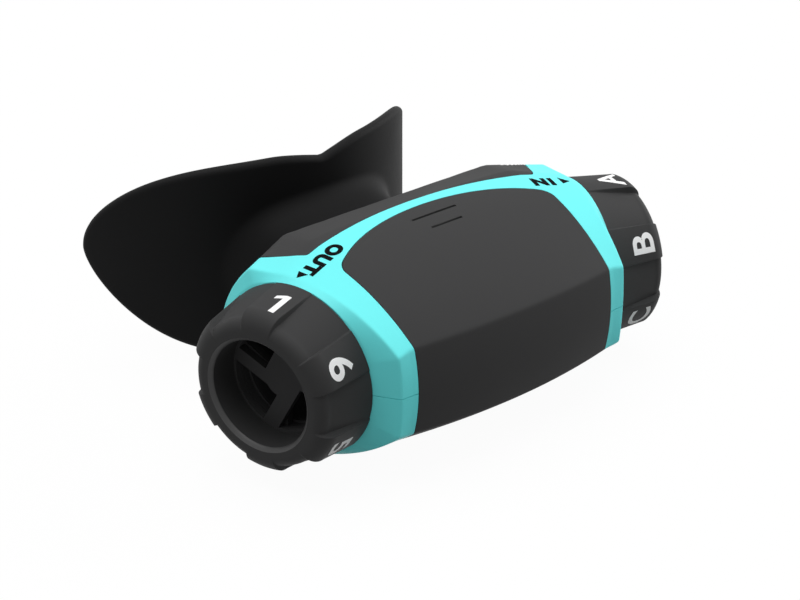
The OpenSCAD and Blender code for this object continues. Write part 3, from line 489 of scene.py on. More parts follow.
def makeFrontCover():
    f = frontCover
    ends = 1 - f["cornerShare"] * (1 - np.sin(np.radians((0, 15, 30, 45, 58, 70, 80))))
    u = np.unique(np.concatenate((packedSteps(-1.0, 1.0, f["columnStep"]), ends, -ends)).round(6))
    edgeY = stripFront(u) - seams["gap"]
    upperEdge = placeAt(u * (coverSide(edgeY) - seams["gap"]), edgeY)
    # rows are straight over the face, then spread to the curved edge of the top strip
    turnAt = f["straightTo"]
    low = packedSteps(0.0, turnAt, f["rowStep"], (barrel["shares"][0],))
    share = np.linspace(0, 1, 40)[1:]
    rows = np.concatenate((np.repeat(low[:, None], len(u), 1),
                           turnAt + share[:, None] * (upperEdge[None, :] - turnAt)))
    t = np.concatenate((-rows[:0:-1], rows))
    patch = bodyPatch(sideAt(coverSide, barrel["coverHalf"], t, seams["gap"], u), t)
    piece = surfacePiece("frontCoverShell", [patch], "electronics_unit", ("front_cover",),
                         (finishes["dark_grey"],))
    addWall(piece, f["wallRim"])
    applyAll(piece)
    cutters = []
    for half, grooveY in f["grooves"]:
        height, ahead = (float(topHeight(np.array(0.0), np.array(y))) for y in (grooveY, grooveY + 1))
        x = np.array((-1, 1, 1, -1)) * half
        y = np.array((-1, -1, 1, 1)) * f["grooveHalf"] + grooveY
        floorZ = height + (ahead - height) * (y - grooveY) - f["grooveDepth"]
        cutters.append(upright(x, y, floorZ, beyond))
    holeX, holeY, halfX, halfY = f["chargeHole"]
    angle = np.linspace(0, 2 * math.pi, 41)[:-1]
    x = holeX + (halfX - halfY) * np.sign(np.cos(angle)) + halfY * np.cos(angle)
    cutters.append(upright(x, holeY + halfY * np.sin(angle), -beyond, f["chargeTop"]))
    cutWith(piece, cutters)
    addRim(piece, f["holeRim"])


rearCover = {
    "spigotHole": (14.6, 6.6),    # half width and half height of the hole that the socket comes out of
    "spigotReach": (17.5, 30.0),  # from and to which Y it is cut
    "screwPlace": (29.3, 18.5),
    "screwHole": 1.55,
    "screwFloor": -12.0,
    "closer": (0.70, 0.86),       # shares of the way to the edge from which the grid's rows lie closer
    "edgeGuess": 0.36,            # first guess of the share of the way round that the cover takes
    "wallRim": 0.2, "holeRim": 0.1,
}


def roundLoop(halfWide, halfHigh, angle):
    # a flattened round: straight in the middle, round at the ends
    x = (halfWide - halfHigh) * np.tanh(3 * np.cos(angle)) / math.tanh(3) + halfHigh * np.cos(angle)
    return x, halfHigh * np.sin(angle)


def makeRearCover():
    f = rearCover
    half = np.sin(np.linspace(0, math.pi / 2, 26))
    u = np.concatenate((-half[:0:-1], half))
    closer, closest = f["closer"]
    v = np.unique(np.concatenate((np.linspace(0, closest, 34), np.linspace(closest, 1.0, 22),
                                  np.linspace(closer, closest, 30))).round(6))
    side = rearSideAt(1 - v * f["edgeGuess"], seams["gap"])
    for step in range(4):
        edgeT = placeAt(side, stripRear(side) + seams["gap"])
        side = rearSideAt(1 - v * (1 - edgeT), seams["gap"])
    x = u[None, :] * side[:, None]
    t = 1 - v[:, None] * (1 - placeAt(x, stripRear(x) + seams["gap"]))
    patch = bodyPatch(np.concatenate((x[:0:-1], x)), np.concatenate((2 - t[:0:-1], t)))
    piece = surfacePiece("rearCoverShell", [patch], "body", ("rear_cover",),
                         (finishes["dark_grey"],))
    addWall(piece, f["wallRim"])
    applyAll(piece)
    x, z = roundLoop(*f["spigotHole"], np.linspace(0, 2 * math.pi, 65)[:-1])
    spigot = np.stack([np.stack(np.broadcast_arrays(x, y, z), -1) for y in f["spigotReach"]])
    cutWith(piece, [closedLoft(spigot)] + screwRods(f))
    addRim(piece, f["holeRim"])


frameHalf = {
    "screwPlace": (28.0, -15.0),   # of the lower half, on both sides
    "screwHole": 1.55,
    "screwFloor": -14.0,
    "parting": (0.0011, 0.00099),  # shares of the way round that are left open, in front and at the rear
    "endSoft": 0.45,               # half width of the rounding of the ring's end crease
    "softSpan": 0.9,               # half width of the zone by the crease where the grid is fine
    "softFade": 0.5,               # beyond it the rounding fades out over this length
    "farthest": 0.985,             # a line starts at most at this share of the way to the middle section
    "flatRing": 15.8,              # radius of a loop in the flat ring round the dial's neck
    "rowStep": 0.013,
    "rowClear": 0.003,             # no other row this close to the one at the rear cover's widest place
    "stripRows": 15, "stripColumns": 61,
    "wallRim": 0.15, "holeRim": 0.12,
}


def ringRows():
    # Places round the ring: up from the parting to the front cover's corner, along the end of the top
    # strip, and down the rear cover's side to the parting. With each goes the X where its line starts.
    front, rear = frameHalf["parting"]
    cornerY = float(stripFront(np.array(1.0)))
    cornerX = float(coverSide(cornerY))
    cornerT = float(placeAt(np.array(cornerX), np.array(cornerY)))
    rearX = seams["rearCorner"][0]
    rearY = stripRear(np.array(rearX))
    low = packedSteps(front, cornerT, frameHalf["rowStep"], (barrel["shares"][0],))
    share = np.linspace(0, 1, frameHalf["stripRows"])
    joinX = cornerX + (rearX - cornerX) * share
    joinT = placeAt(joinX, cornerY * (1 - share) + rearY * share)
    rearT = float(placeAt(np.array(rearX), np.array(rearY)))
    high = packedSteps(rearT, 1 - rear, frameHalf["rowStep"], (barrel["shares"][2],))
    turnT = float(placeAt(*(np.array(value) for value in seams["rearWidest"])))
    high = np.unique(np.concatenate((high[np.abs(high - turnT) > frameHalf["rowClear"]], [turnT])))
    t = np.concatenate((low[:-1], joinT, high[1:]))
    coverX = sideAt(coverSide, barrel["coverHalf"], low[:-1], 0.0)
    return t, np.concatenate((coverX, joinX, rearSideAt(high[1:], 0.0)))


def ringLine(t):
    # the places that a line of the ring runs through, at the front cover's side, on the end outline and
    # on the dial circle, and the angle of the last
    midY, midZ = middleSection(np.array(barrel["coverHalf"]), t)
    endX, endY, endZ = endSection(t)
    toe, radius = barrel["toe"], barrel["dialRadius"]
    turn = np.arctan2(endZ, (endX - barrel["dialX"]) * math.sin(toe) + endY * math.cos(toe))
    mid = np.stack(np.broadcast_arrays(barrel["coverHalf"], midY, midZ), axis=-1)
    dial = np.stack((*toed(0.0, radius * np.cos(turn)), radius * np.sin(turn)), axis=-1)
    return mid, np.stack((endX, endY, endZ), axis=-1), dial, turn


def lengthsOf(mid, end, dial):
    return np.linalg.norm(end - mid, axis=-1), np.linalg.norm(dial - end, axis=-1)


def ringPoint(d, t):
    # Along a line of the ring, in millimetres from its end crease: the straight way from the middle
    # section for d below 0, and the end face in to the dial circle above. Averaged over neighbours.
    total = 0.0
    fade = np.clip(1 - (np.abs(d) - frameHalf["softSpan"]) / frameHalf["softFade"], 0, 1)
    for tap, weight in softTaps:
        mid, end, dial = ringLine(t + tap * barrel["creaseHalf"])[:3]
        outer, inner = lengthsOf(mid, end, dial)
        for tapAlong, weightAlong in softTaps:
            run = d + tapAlong * frameHalf["endSoft"] * fade
            back = np.clip(run / outer, -1, 0)[..., None]
            down = np.clip(run / inner, 0, 1)[..., None]
            total = total + weight * weightAlong * (end + back * (end - mid) + down * (dial - end))
    return total


def ringGrid():
    t, innerX = ringRows()
    mid, end, dial, turn = ringLine(t)
    outer, inner = lengthsOf(mid, end, dial)

    def run(start, stop, count):
        start, stop = (np.broadcast_to(value, t.shape)[:, None] for value in (start, stop))
        return start + np.linspace(0, 1, count) * (stop - start)

    # the start isn't quite at the middle section, and the columns are close by the end crease
    span = frameHalf["softSpan"]
    start = -(end[:, 0] - innerX) / (end[:, 0] - barrel["coverHalf"])
    start = np.maximum(start, -frameHalf["farthest"]) * outer
    near = np.minimum(-1.0, start * 0.5)
    d = np.concatenate((run(start, near, 9)[:, :-1], run(near, -span, 5)[:, :-1], run(-span, span, 15),
                        run(span, inner, 5)[:, 1:]), axis=1)
    points = ringPoint(d, np.broadcast_to(t[:, None], d.shape))
    # the first column lies exactly on the boundary
    points[:, 0] = np.stack((innerX, *bodyPoint(innerX, t)), axis=-1)
    # flat ring round the dial's neck
    for radius in (frameHalf["flatRing"], barrel["holeRadius"]):
        flat = np.stack((*toed(0.0, radius * np.cos(turn)), radius * np.sin(turn)), axis=-1)
        points = np.concatenate((points, flat[:, None]), axis=1)
    return points


def stripGrid():
    # between the two covers: straight from the front edge of the strip to its rear edge
    share = np.linspace(0, 1, frameHalf["stripRows"])[:, None]
    u = np.sin(np.linspace(-1, 1, frameHalf["stripColumns"]) * math.pi / 2)
    rearX = seams["rearCorner"][0] * u
    frontY = stripFront(u)[None, :]
    x = u * coverSide(frontY) * (1 - share) + rearX * share
    t = placeAt(x, frontY * (1 - share) + stripRear(rearX)[None, :] * share)
    return np.stack((x, *bodyPoint(x, t)), axis=-1)


def makeFrame():
    ring = ringGrid()
    grids = (ring, ring * np.array((-1, 1, 1)), stripGrid())
    for name, node, side in (("upperFrameShell", "upper_frame", 1),
                             ("lowerFrameShell", "lower_frame", -1)):
        patches = [gridPatch(resting(points * np.array((1, 1, side)))) for points in grids]
        piece = surfacePiece(name, patches, "body", (node,), (finishes["aqua"],), merge=0.02)
        addWall(piece, frameHalf["wallRim"])
        if side < 0:
            applyAll(piece)
            cutWith(piece, screwRods(frameHalf))
            addRim(piece, frameHalf["holeRim"])


dialForm = {
    "base": 0.1, "rim": {-1: 11.9, 1: 12.9},  # the inhale dial is the longer one
    "padBase": 17.3, "padEnd": 16.25, "padRound": 3.4,
    "floorBase": 17.15, "floorEnd": 14.7, "floorRound": 2.2,
    "rimRadius": 11.35, "bevel": 0.75, "mouth": 10.6, "boreRow": 8.0, "discEnd": 5.2, "discClear": 0.1,
    "sleeve": 12.6, "sleeveRow": 1.0,
    "flange": 15.4, "flangeLow": -3.2, "flangeHigh": -2.0, "neck": 14.2,
    "padCount": 6, "padAngle": 27.0, "padEdge": 1.4,
    "edgeFine": 1.1, "edgeClear": 1.3,  # degrees beside a pad's edge: the fine columns, and the next ones
}


def outerProfile(baseR, endR, rounding, rim):
    # from the base a straight line to the rounding, then its arc to the rim: radius and height
    f = dialForm
    straight = np.linspace(0, 1, 16)
    angle = np.linspace(0, math.pi / 2, 15)[1:]
    r = np.concatenate((baseR + (endR - baseR) * straight, endR - rounding + rounding * np.cos(angle)))
    z = np.concatenate((f["base"] + (rim - rounding - f["base"]) * straight,
                        rim - rounding + rounding * np.sin(angle)))
    return r, z


def padMask(angle):
    # 1 on a pad, 0 between pads, with a steep side between
    pitch = 360 / dialForm["padCount"]
    off = np.abs((angle + pitch / 2) % pitch - pitch / 2)
    return 1 - smoothStep(dialForm["padAngle"] / 2 - dialForm["padEdge"] / 2,
                          dialForm["padAngle"] / 2 + dialForm["padEdge"] / 2, off)


def padSurface(side, height):
    # radius of a pad's outside at a height
    f = dialForm
    r, z = outerProfile(f["padBase"], f["padEnd"], f["padRound"], f["rim"][side])
    return np.interp(height, z, r)


def onDial(side, radius, angle, height):
    # place on a dial, whose axis points outwards and to the front; the angle counts from the top forwards
    cosA, sinA = np.cos(np.radians(angle)), np.sin(np.radians(angle))
    x, y = toed(height, -radius * sinA)
    return np.stack(np.broadcast_arrays(side * x, y, radius * cosA), axis=-1)


def makeDial(name, node, side, body):
    f = dialForm
    pitch = 360 / f["padCount"]
    edge, fine, clear = f["padAngle"] / 2, f["edgeFine"], f["edgeClear"]
    offsets = np.concatenate((np.linspace(0, edge - clear, 9), edge + np.linspace(-fine, fine, 9),
                              np.linspace(edge + clear, pitch - edge - clear, 13),
                              pitch - edge + np.linspace(-fine, fine, 9),
                              np.linspace(pitch - edge + clear, pitch, 9)[:-1]))
    angle = np.concatenate([offsets + i * pitch for i in range(f["padCount"])])
    rim, rimR, mouth = f["rim"][side], f["rimRadius"], f["mouth"]
    padR, padZ = outerProfile(f["padBase"], f["padEnd"], f["padRound"], rim)
    floorR, floorZ = outerProfile(f["floorBase"], f["floorEnd"], f["floorRound"], rim)
    mask = padMask(angle)[None, :]
    r = floorR[:, None] + (padR - floorR)[:, None] * mask
    z = floorZ[:, None] + (padZ - floorZ)[:, None] * mask
    # radius and height of the loops that follow: over the rim, down its bevel, along the bore, and inside
    over = [(r[-1:] + (rimR - r[-1:]) * share, rim) for share in (0.5, 1.0)]
    bevel = [(rimR + (mouth - rimR) * share, rim - f["bevel"] * share) for share in (0.06, 0.5, 0.94)]
    bore = [(mouth, rim - f["bevel"] - 0.1), (mouth, f["boreRow"]), (mouth, f["discEnd"] + f["discClear"])]
    inside = [(mouth, f["discEnd"]), (f["sleeve"], f["discEnd"]), (f["sleeve"], f["sleeveRow"]),
              (f["sleeve"], f["flangeLow"]), (f["flange"], f["flangeLow"]), (f["flange"], f["flangeHigh"]),
              (f["neck"], f["flangeHigh"]), (f["neck"], f["base"])]
    boreFrom = len(r) + len(over) + len(bevel)
    for radius, height in over + bevel + bore + inside:
        r = np.vstack((r, np.broadcast_to(radius, (1, len(angle)))))
        z = np.vstack((z, np.broadcast_to(height, (1, len(angle)))))
    points, faces, number = gridPatch(onDial(side, r, angle[None, :], z), loopRows=True, loopColumns=True)
    # the bore gets a darker colour as painted shade, and the bevel at its rim a lighter colour as a painted
    # highlight, with a smoother finish
    row = faces.min(axis=1) // len(angle)
    inBore = (row >= boreFrom) & (row < boreFrom + len(bore))
    inBevel = (row >= boreFrom - len(bevel) - 1) & (row < boreFrom)
    patches = [(points, faces[~inBore & ~inBevel], number), (points, faces[inBore], 1),
               (points, faces[inBevel], 2)]
    surfacePiece(name, patches, body, (node,),
                 (finishes["dial_grey"], finishes["borePaintedShade"], finishes["rimSmoothPaintedHighlight"]),
                 sharp=32, recalc=True)


mouthForm = {
    "axisY": 80.8, "frontR": 44.6, "thick": 2.6, "half": 41.6,
    # outline of the shield: height of its tips, then rise and powers of its upper and its lower edge,
    # and half width, softness, depth and power of the notch
    "tip": 3.2, "top": (19.8, 4.7, 0.52), "bottom": (-23.45, 4.1, 0.6), "notch": (12.6, 0.012, 2.4, 1.5),
    "rim": 1.25,
    "neck": (19.0, 11.0), "bore": (16.5, 8.5), "boreEnd": 33.3,
    "tube": (15.4, 7.4), "duct": (13.2, 5.2), "ductRound": 0.5,
    "flare": 4.0, "flareLong": 7.0, "fillet": 1.2,
    "lipR": 33.5, "lipThick": 2.2, "lip": (24.0, 10.0), "lipRim": 1.0,
    "coverGap": 0.3,   # between the neck and the rear cover
    "biteX": 15.84, "biteWide": 8.0, "biteThick": 2.6, "biteEnd": 6.0, "biteReach": 62.3,
    "columns": 240,
}


def shieldEdge(x, rise, power, rounding):
    # height of the shield's outline: the tips' height and rise * (1 - across^power)^rounding
    inside = np.maximum(0, 1 - (np.abs(x) / mouthForm["half"]) ** power)
    return mouthForm["tip"] + rise * inside ** rounding


def shieldTop(x):
    # the upper edge, less a softened notch that falls off in a straight line to both sides
    half, soft, depth, power = mouthForm["notch"]
    notch = np.sqrt(np.maximum(0, 1 - np.abs(x) / half) ** 2 + soft) - math.sqrt(soft)
    return shieldEdge(x, *mouthForm["top"]) - depth * notch ** power


def sheetDepth(radius, x):
    # Y of an upright round sheet about the axis behind the mouthpiece
    return mouthForm["axisY"] - np.sqrt(radius ** 2 - x ** 2)


def onSheet(radius, turn, z):
    # a point of such a sheet by its angle from the middle
    y = mouthForm["axisY"] - radius * np.cos(turn)
    return np.stack(np.broadcast_arrays(radius * np.sin(turn), y, z), -1)


def rimLoops(turn, z, radius, thick, soft):
    # from the front face round the edge to the back face: the outline moved in along its own normal by
    # the rounding's depth, on sheets between the front and the back radius
    dTurn = (np.roll(turn, -1) - np.roll(turn, 1)) * radius
    dZ = np.roll(z, -1) - np.roll(z, 1)
    size = np.hypot(dTurn, dZ) + 1e-9
    inTurn, inZ = -dZ / size, dTurn / size
    if ((turn * radius * inTurn) + (z - z.mean()) * inZ).sum() > 0:
        inTurn, inZ = -inTurn, -inZ
    loops = []
    for angle in np.radians((0, 12, 28, 45, 62, 78, 90, 102, 118, 135, 152, 168, 180)):
        depth = soft * (1 - math.sin(angle))
        down = thick / 2 * (1 - math.cos(angle))
        loops.append((turn + inTurn * depth / radius, z + inZ * depth, radius - down))
    return loops


def behindCover(x, z):
    # a small gap off the rear cover: the arc of the middle section's rear, as in sectionAt
    form = barrel["middle"]
    rear = form["rear"] - barrel["sideLoss"]["rear"] * (x / barrel["coverHalf"]) ** 2
    centre = (rear ** 2 - form["back"] ** 2 - form["backHeight"] ** 2) / (2 * (rear - form["back"]))
    return centre + np.sqrt((rear - centre) ** 2 - z ** 2) + mouthForm["coverGap"]


def makeMouthpiece():
    f = mouthForm
    angle = (np.arange(f["columns"]) + 0.5) * (2 * math.pi / f["columns"])
    loops = []

    def along(outline, start, end, shares):
        # loops of one outline, from one depth to another
        x, z = outline
        for share in shares:
            loops.append(np.stack(np.broadcast_arrays(x, start + (end - start) * share, z), -1))

    def across(radius, start, end, shares):
        # loops on a sheet, from one outline in turn and height to another
        for share in shares:
            loops.append(onSheet(radius, *(a + (b - a) * share for a, b in zip(start, end))))

    def standing(size, grow, radius, off):
        # a grown oval, moved off a sheet along Y
        x, z = roundLoop(size[0] + grow, size[1] + grow, angle)
        y = sheetDepth(radius, x) + off
        loops.append(np.stack((x, y, z), -1))
        return x, y, z

    neck = roundLoop(*f["neck"], angle)
    neckStart = behindCover(*neck)
    along(neck, neckStart, sheetDepth(f["frontR"], neck[0]) - f["flareLong"], (0.0, 0.03, 0.3, 0.6, 0.85))
    for bend in np.radians(np.linspace(0, 90, 13)):
        x, y, z = standing(f["neck"], f["flare"] * (1 - math.cos(bend)), f["frontR"],
                           -f["flareLong"] * (1 - math.sin(bend)))
    # the front face out to the shield's outline, and round its rim
    outX = f["half"] * np.cos(angle)
    outZ = np.where(np.sin(angle) > 0, shieldTop(outX), shieldEdge(outX, *f["bottom"]))
    rims = rimLoops(np.arcsin(outX / f["frontR"]), outZ, f["frontR"], f["thick"], f["rim"])
    across(f["frontR"], (np.arcsin(x / f["frontR"]), z), rims[0][:2], np.linspace(0, 1, 20)[1:-1])
    loops += [onSheet(radius, turn, z) for turn, z, radius in rims]
    # back face in to the tube, with a small fillet, and along the tube to the lip flange
    backR = f["frontR"] - f["thick"]
    tubeX, tubeZ = roundLoop(f["tube"][0] + f["fillet"], f["tube"][1] + f["fillet"], angle)
    across(backR, rims[-1][:2], (np.arcsin(tubeX / backR), tubeZ), np.linspace(0, 1, 20)[1:])
    for bend in np.radians((30, 60, 90)):
        x, y, z = standing(f["tube"], f["fillet"] * (1 - math.sin(bend)), backR,
                           f["fillet"] * (1 - math.cos(bend)))
    tubeX, tubeZ = roundLoop(*f["tube"], angle)
    along((tubeX, tubeZ), y, sheetDepth(f["lipR"], tubeX), (0.35, 0.7, 0.97))
    lipX, lipZ = roundLoop(*f["lip"], angle)
    rims = rimLoops(np.arcsin(lipX / f["lipR"]), lipZ, f["lipR"], f["lipThick"], f["lipRim"])
    across(f["lipR"], (np.arcsin(tubeX / f["lipR"]), tubeZ), rims[0][:2], np.linspace(0, 1, 7)[:-1])
    loops += [onSheet(radius, turn, z) for turn, z, radius in rims]
    # the lip's back face in to the duct, forward through the duct, and through the wider bore
    backR = f["lipR"] - f["lipThick"]
    ductX, ductZ = roundLoop(f["duct"][0] + f["ductRound"], f["duct"][1] + f["ductRound"], angle)
    across(backR, rims[-1][:2], (np.arcsin(ductX / backR), ductZ), np.linspace(0, 1, 8)[1:])
    duct = roundLoop(*f["duct"], angle)
    along(duct, sheetDepth(backR, duct[0]) - f["ductRound"], f["boreEnd"], (0.0, 0.3, 0.65, 0.98, 1.0))
    bore = roundLoop(*f["bore"], angle)
    along(bore, f["boreEnd"], neckStart, (0.0, 0.03, 0.5, 0.97))
    loops.append(np.stack((bore[0], behindCover(*bore), bore[1]), -1))
    patches = [gridPatch(np.stack(loops), loopRows=True, loopColumns=True)]
    # bite tabs, rounded bars that grow a ridge at their ends: depth, thickness and inset of the sides
    around = np.linspace(0, 2 * math.pi, 49)[:-1]
    cosA, sinA = np.cos(around), np.sin(around)
    thick, high, reach = f["biteThick"], f["biteEnd"], f["biteReach"]
    ridge = reach - thick
    start = f["axisY"] - math.sqrt((f["lipR"] - f["lipThick"] / 2) ** 2 - f["biteX"] ** 2)
    bars = ((start, thick, 0.0), (ridge - 2.2, thick, 0.0), (ridge - 1.0, thick * 1.05, 0.0),
            (ridge - 0.4, thick * 1.3, 0.0), (ridge, high * 0.75, 0.0), (ridge + 0.35, high * 0.94, 0.0),
            (ridge + 0.9, high, 0.0), (reach - 0.9, high, 0.0), (reach - 0.35, high - 0.4, 0.25),
            (reach - 0.08, high - 1.1, 0.6), (reach, high - 2.0, 1.1))
    for side in (-1, 1):
        rows = []
        for y, tall, inset in bars:
            x = side * f["biteX"] + (f["biteWide"] / 2 - inset) * np.sign(cosA) * np.abs(cosA) ** 0.45
            z = tall / 2 * np.sign(sinA) * np.abs(sinA) ** 0.6
            rows.append(np.stack((x, np.full_like(x, y), z), -1))
        patches.append(closedLoft(np.stack(rows)))
    surfacePiece("siliconeMouthpiece", patches, "mouthpiece", ("mouthpiece",), (finishes["silicone"],),
                 sharp=50)


# the figure one with a flag at its top, as corners
figureOne = ((0.10, 0.0), (0.28, 0.0), (0.28, 1.0), (0.14, 1.0), (-0.13, 0.85), (-0.13, 0.68), (0.10, 0.80))


def textPatch(words, size, stretch, embolden, spread=1.0, longest=0.7):
    # a word as a finely cut flat mesh about its own middle: points in millimetres and triangles
    if words == "1":
        mesh = bpy.data.meshes.new("mark")
        mesh.from_pydata([(a, b, 0) for a, b in figureOne], [], [list(range(len(figureOne)))])
    else:
        curve = bpy.data.curves.new("mark", "FONT")
        curve.body = words
        curve.size = 1.0
        curve.align_x = "CENTER"
        curve.offset = embolden
        curve.space_character = spread
        curve.resolution_u = 6
        holder = newObject("mark", curve)
        depsgraph = bpy.context.evaluated_depsgraph_get()
        mesh = bpy.data.meshes.new_from_object(holder.evaluated_get(depsgraph))
        bpy.data.objects.remove(holder)
        bpy.data.curves.remove(curve)
    work = bmesh.new()
    work.from_mesh(mesh)
    bpy.data.meshes.remove(mesh)
    lows = [min(v.co[i] for v in work.verts) for i in (0, 1)]
    highs = [max(v.co[i] for v in work.verts) for i in (0, 1)]
    scale = size / (highs[1] - lows[1])
    for v in work.verts:
        v.co.x = (v.co.x - (lows[0] + highs[0]) / 2) * scale * stretch
        v.co.y = (v.co.y - (lows[1] + highs[1]) / 2) * scale
    bmesh.ops.remove_doubles(work, verts=work.verts, dist=0.002)
    bmesh.ops.triangulate(work, faces=work.faces)
    for step in range(7):
        long = [e for e in work.edges if e.calc_length() > longest]
        if not long:
            break
        bmesh.ops.subdivide_edges(work, edges=long, cuts=1)
        bmesh.ops.triangulate(work, faces=work.faces)
    work.verts.index_update()
    points = np.array([v.co[:] for v in work.verts])
    faces = [[v.index for v in face.verts] for face in work.faces]
    work.free()
    return points, faces


def markPiece(name, points, faces, body, material):
    mesh = bpy.data.meshes.new(name)
    mesh.from_pydata(placed(points), [], faces)
    mesh.materials.append(material)
    mesh.polygons.foreach_set("use_smooth", np.ones(len(mesh.polygons), dtype=bool))
    piece = newObject(name, mesh)
    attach(piece, body)


dialMarks = {
    "embolden": 0.022, "proud": 0.03,
    # for each dial: height and stretch of the figures, middle above the base, turn towards the front
    -1: {"height": 5.6, "stretch": 1.2, "at": 6.1, "turn": 2.0},
    1: {"height": 5.1, "stretch": 1.16, "at": 7.4, "turn": 0.0},
}
frameMarks = {
    "height": 3.1, "embolden": 0.07, "proud": 0.03,
    # for each word: stretch, letter spacing, middle, turn, and the corners of its arrow
    "OUT": {"stretch": 1.24, "spread": 1.14, "at": (-27.35, 2.42), "turn": 15.9,
            "arrow": ((-32.99, 2.47), (-32.43, 0.42), (-34.59, 1.13))},
    "IN": {"stretch": 1.14, "spread": 1.25, "at": (28.15, 1.87), "turn": -15.0,
           "arrow": ((32.53, 2.45), (34.0, 0.2), (31.9, -0.12))},
}


def makeDialMarks(side, characters, body, name):
    form = dialMarks[side]
    at = form["at"]
    allPoints, allFaces, count = [], [], 0
    for i, character in enumerate(characters):
        flat, faces = textPatch(character, form["height"], form["stretch"], dialMarks["embolden"])
        height = at - flat[:, 1]
        radius = padSurface(side, height) + dialMarks["proud"]
        angle = i * 60.0 + form["turn"] - side * np.degrees(flat[:, 0] / radius)
        allPoints.append(onDial(side, radius, angle, height))
        allFaces += [[v + count for v in face] for face in faces]
        count += len(flat)
    points = np.vstack(allPoints)
    corners = points[np.array(allFaces)]
    outward = np.cross(corners[:, 1] - corners[:, 0], corners[:, 2] - corners[:, 0])
    away = corners.mean(axis=1) - onDial(side, 0.0, 0.0, at)
    if (outward * away).sum() < 0:
        allFaces = [face[::-1] for face in allFaces]
    markPiece(name, points, allFaces, body, finishes["markWhite"])


def makeFrameMarks():
    for name, words in (("outMark", "OUT"), ("inMark", "IN")):
        form = frameMarks[words]
        flat, faces = textPatch(words, frameMarks["height"], form["stretch"], frameMarks["embolden"],
                                form["spread"])
        # the words are read from the mouthpiece's side
        cosT, sinT = math.cos(math.radians(form["turn"])), math.sin(math.radians(form["turn"]))
        x = form["at"][0] - cosT * flat[:, 0] + sinT * flat[:, 1]
        y = form["at"][1] - sinT * flat[:, 0] - cosT * flat[:, 1]
        # the arrow is a triangle cut into small ones
        a, b, c = (np.array(corner) for corner in form["arrow"])
        rows, arrow, cuts = [], [], 4
        for i in range(cuts + 1):
            left, right = a + (b - a) * i / cuts, a + (c - a) * i / cuts
            rows.append([len(x) + len(arrow) + k for k in range(i + 1)])
            arrow += [left + (right - left) * (k / i if i else 0) for k in range(i + 1)]
        arrowFaces = []
        for upperRow, lowerRow in zip(rows, rows[1:]):
            for k in range(len(upperRow)):
                arrowFaces.append([upperRow[k], lowerRow[k], lowerRow[k + 1]])
                if k + 1 < len(upperRow):
                    arrowFaces.append([upperRow[k], lowerRow[k + 1], upperRow[k + 1]])
        arrow = np.array(arrow)
        x, y = np.concatenate((x, arrow[:, 0])), np.concatenate((y, arrow[:, 1]))
        z = topHeight(x, y) + frameMarks["proud"]
        points = np.stack((x, y, z), -1)
        made = []
        for face in faces + arrowFaces:
            a, b, c = (points[i] for i in face[:3])
            made.append(face if np.cross(b - a, c - a)[2] > 0 else face[::-1])
        markPiece(name, points, made, "body", finishes["markBlack"])


makeFrontCover()
print("front cover made")
makeRearCover()
print("rear cover made")
makeFrame()
print("frame made")
makeDial("exhaleDialCap", "exhale_dial", -1, "exhale_dial")
makeDial("inhaleDialCap", "inhale_dial", 1, "inhale_dial")
print("dials made")
makeMouthpiece()
print("mouthpiece made")
makeDialMarks(-1, "165432", "exhale_dial", "exhaleNumbers")
makeDialMarks(1, "ABCDEF", "inhale_dial", "inhaleLetters")
makeFrameMarks()
print("marks made")


studio = {
    "floorColour": (0.25, 0.25, 0.25),   # for the light that it throws back
    "floorSeen": (0.95, 0.95, 0.95),     # as the camera sees it
    "floorShadow": 0.04,                 # share of the lit colour, and so of the shadow, in what is seen
    "worldLight": 0.30,
    "keyPower": 2.1,        # strength of the overhead key, as a sun with a wide disc
    "keyAngle": 60.0,
    "keyTurn": (math.radians(-4), math.radians(-4), 0),
    "fillPower": 1.3,       # soft fill from the right
    "fillAngle": 50.0,
    "fillFrom": (0.95, -0.2, 0.28),
    "floorHalf": 1500.0,
    "floorHeight": -20.26,
}


def seenStraight(tree):
    # 1 for the rays of the camera, of reflections and of see-through parts
    path = tree.nodes.new("ShaderNodeLightPath").outputs
    first = mathNode(tree, "MAXIMUM", path["Is Camera Ray"], path["Is Transmission Ray"])
    return mathNode(tree, "MAXIMUM", first, path["Is Glossy Ray"])


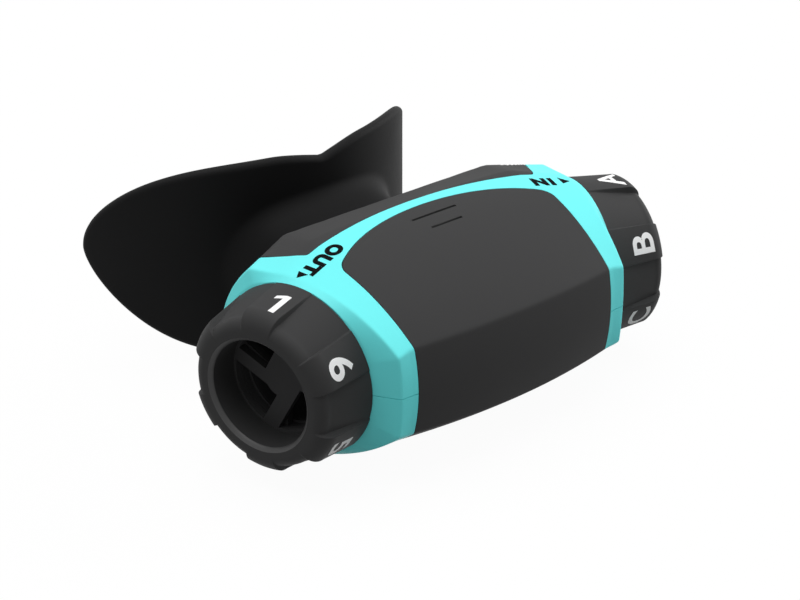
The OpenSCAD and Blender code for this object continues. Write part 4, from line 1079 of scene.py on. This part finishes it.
def makeFloor():
    half = studio["floorHalf"]
    corners = np.array([(x, y, studio["floorHeight"]) for y in (-half, half) for x in (-half, half)])
    mesh = bpy.data.meshes.new("floor")
    mesh.from_pydata(placed(corners), [], [(0, 1, 3, 2)])
    floor = newObject("floor", mesh)
    material, tree, shader = newMaterial("floorPaper")
    straight = seenStraight(tree)
    paper = addNode(tree, "Mix", {"Factor": straight, "A": (*studio["floorColour"], 1),
                                  "B": (*studio["floorSeen"], 1)}, data_type="RGBA")
    feed(tree, shader, {"Base Color": paper.outputs["Result"], "Roughness": 0.9,
                        "Specular IOR Level": 0.1})
    glow = addNode(tree, "Emission", {"Strength": 1.0})
    seen = mathNode(tree, "MULTIPLY", straight, 1 - studio["floorShadow"])
    mix = addNode(tree, "MixShader", {0: seen, 1: shader.outputs[0], 2: glow.outputs[0]})
    feed(tree, tree.nodes["Material Output"], {"Surface": mix.outputs[0]})
    mesh.materials.append(material)


def makeLight():
    world = bpy.data.worlds.new("studio")
    bpy.context.scene.world = world
    world.use_nodes = True
    tree = world.node_tree
    strength = addNode(tree, "MapRange", {"Value": seenStraight(tree), "To Min": studio["worldLight"],
                                          "To Max": 1.0})
    feed(tree, tree.nodes["Background"], {"Color": (1, 1, 1, 1), "Strength": strength.outputs["Result"]})
    fillTurn = Vector(studio["fillFrom"]).to_track_quat("Z", "Y").to_euler()
    for name, lit, turn in (("overheadKey", "key", studio["keyTurn"]), ("rightFill", "fill", fillTurn)):
        lamp = bpy.data.lights.new(name, "SUN")
        lamp.energy = studio[lit + "Power"]
        lamp.angle = math.radians(studio[lit + "Angle"])
        newObject(name, lamp).rotation_euler = turn


viewpoint = {
    "lens": 88.0, "sensor": 36.0, "clip": (0.01, 20.0),
    "place": (-0.2258, -0.2604, 0.19575),   # metres
    "aim": (0.5772, 0.6780, -0.4551),
}


def makeCamera():
    lens = bpy.data.cameras.new("view")
    lens.lens = viewpoint["lens"]
    lens.sensor_width = viewpoint["sensor"]
    lens.clip_start, lens.clip_end = viewpoint["clip"]
    camera = newObject("view", lens)
    camera.location = viewpoint["place"]
    camera.rotation_mode = "QUATERNION"
    camera.rotation_quaternion = Vector(viewpoint["aim"]).to_track_quat("-Z", "Y")
    bpy.context.scene.camera = camera


makeFloor()
makeLight()
makeCamera()
bpy.context.scene.view_settings.view_transform = "Standard"
print("floor, light and camera set")
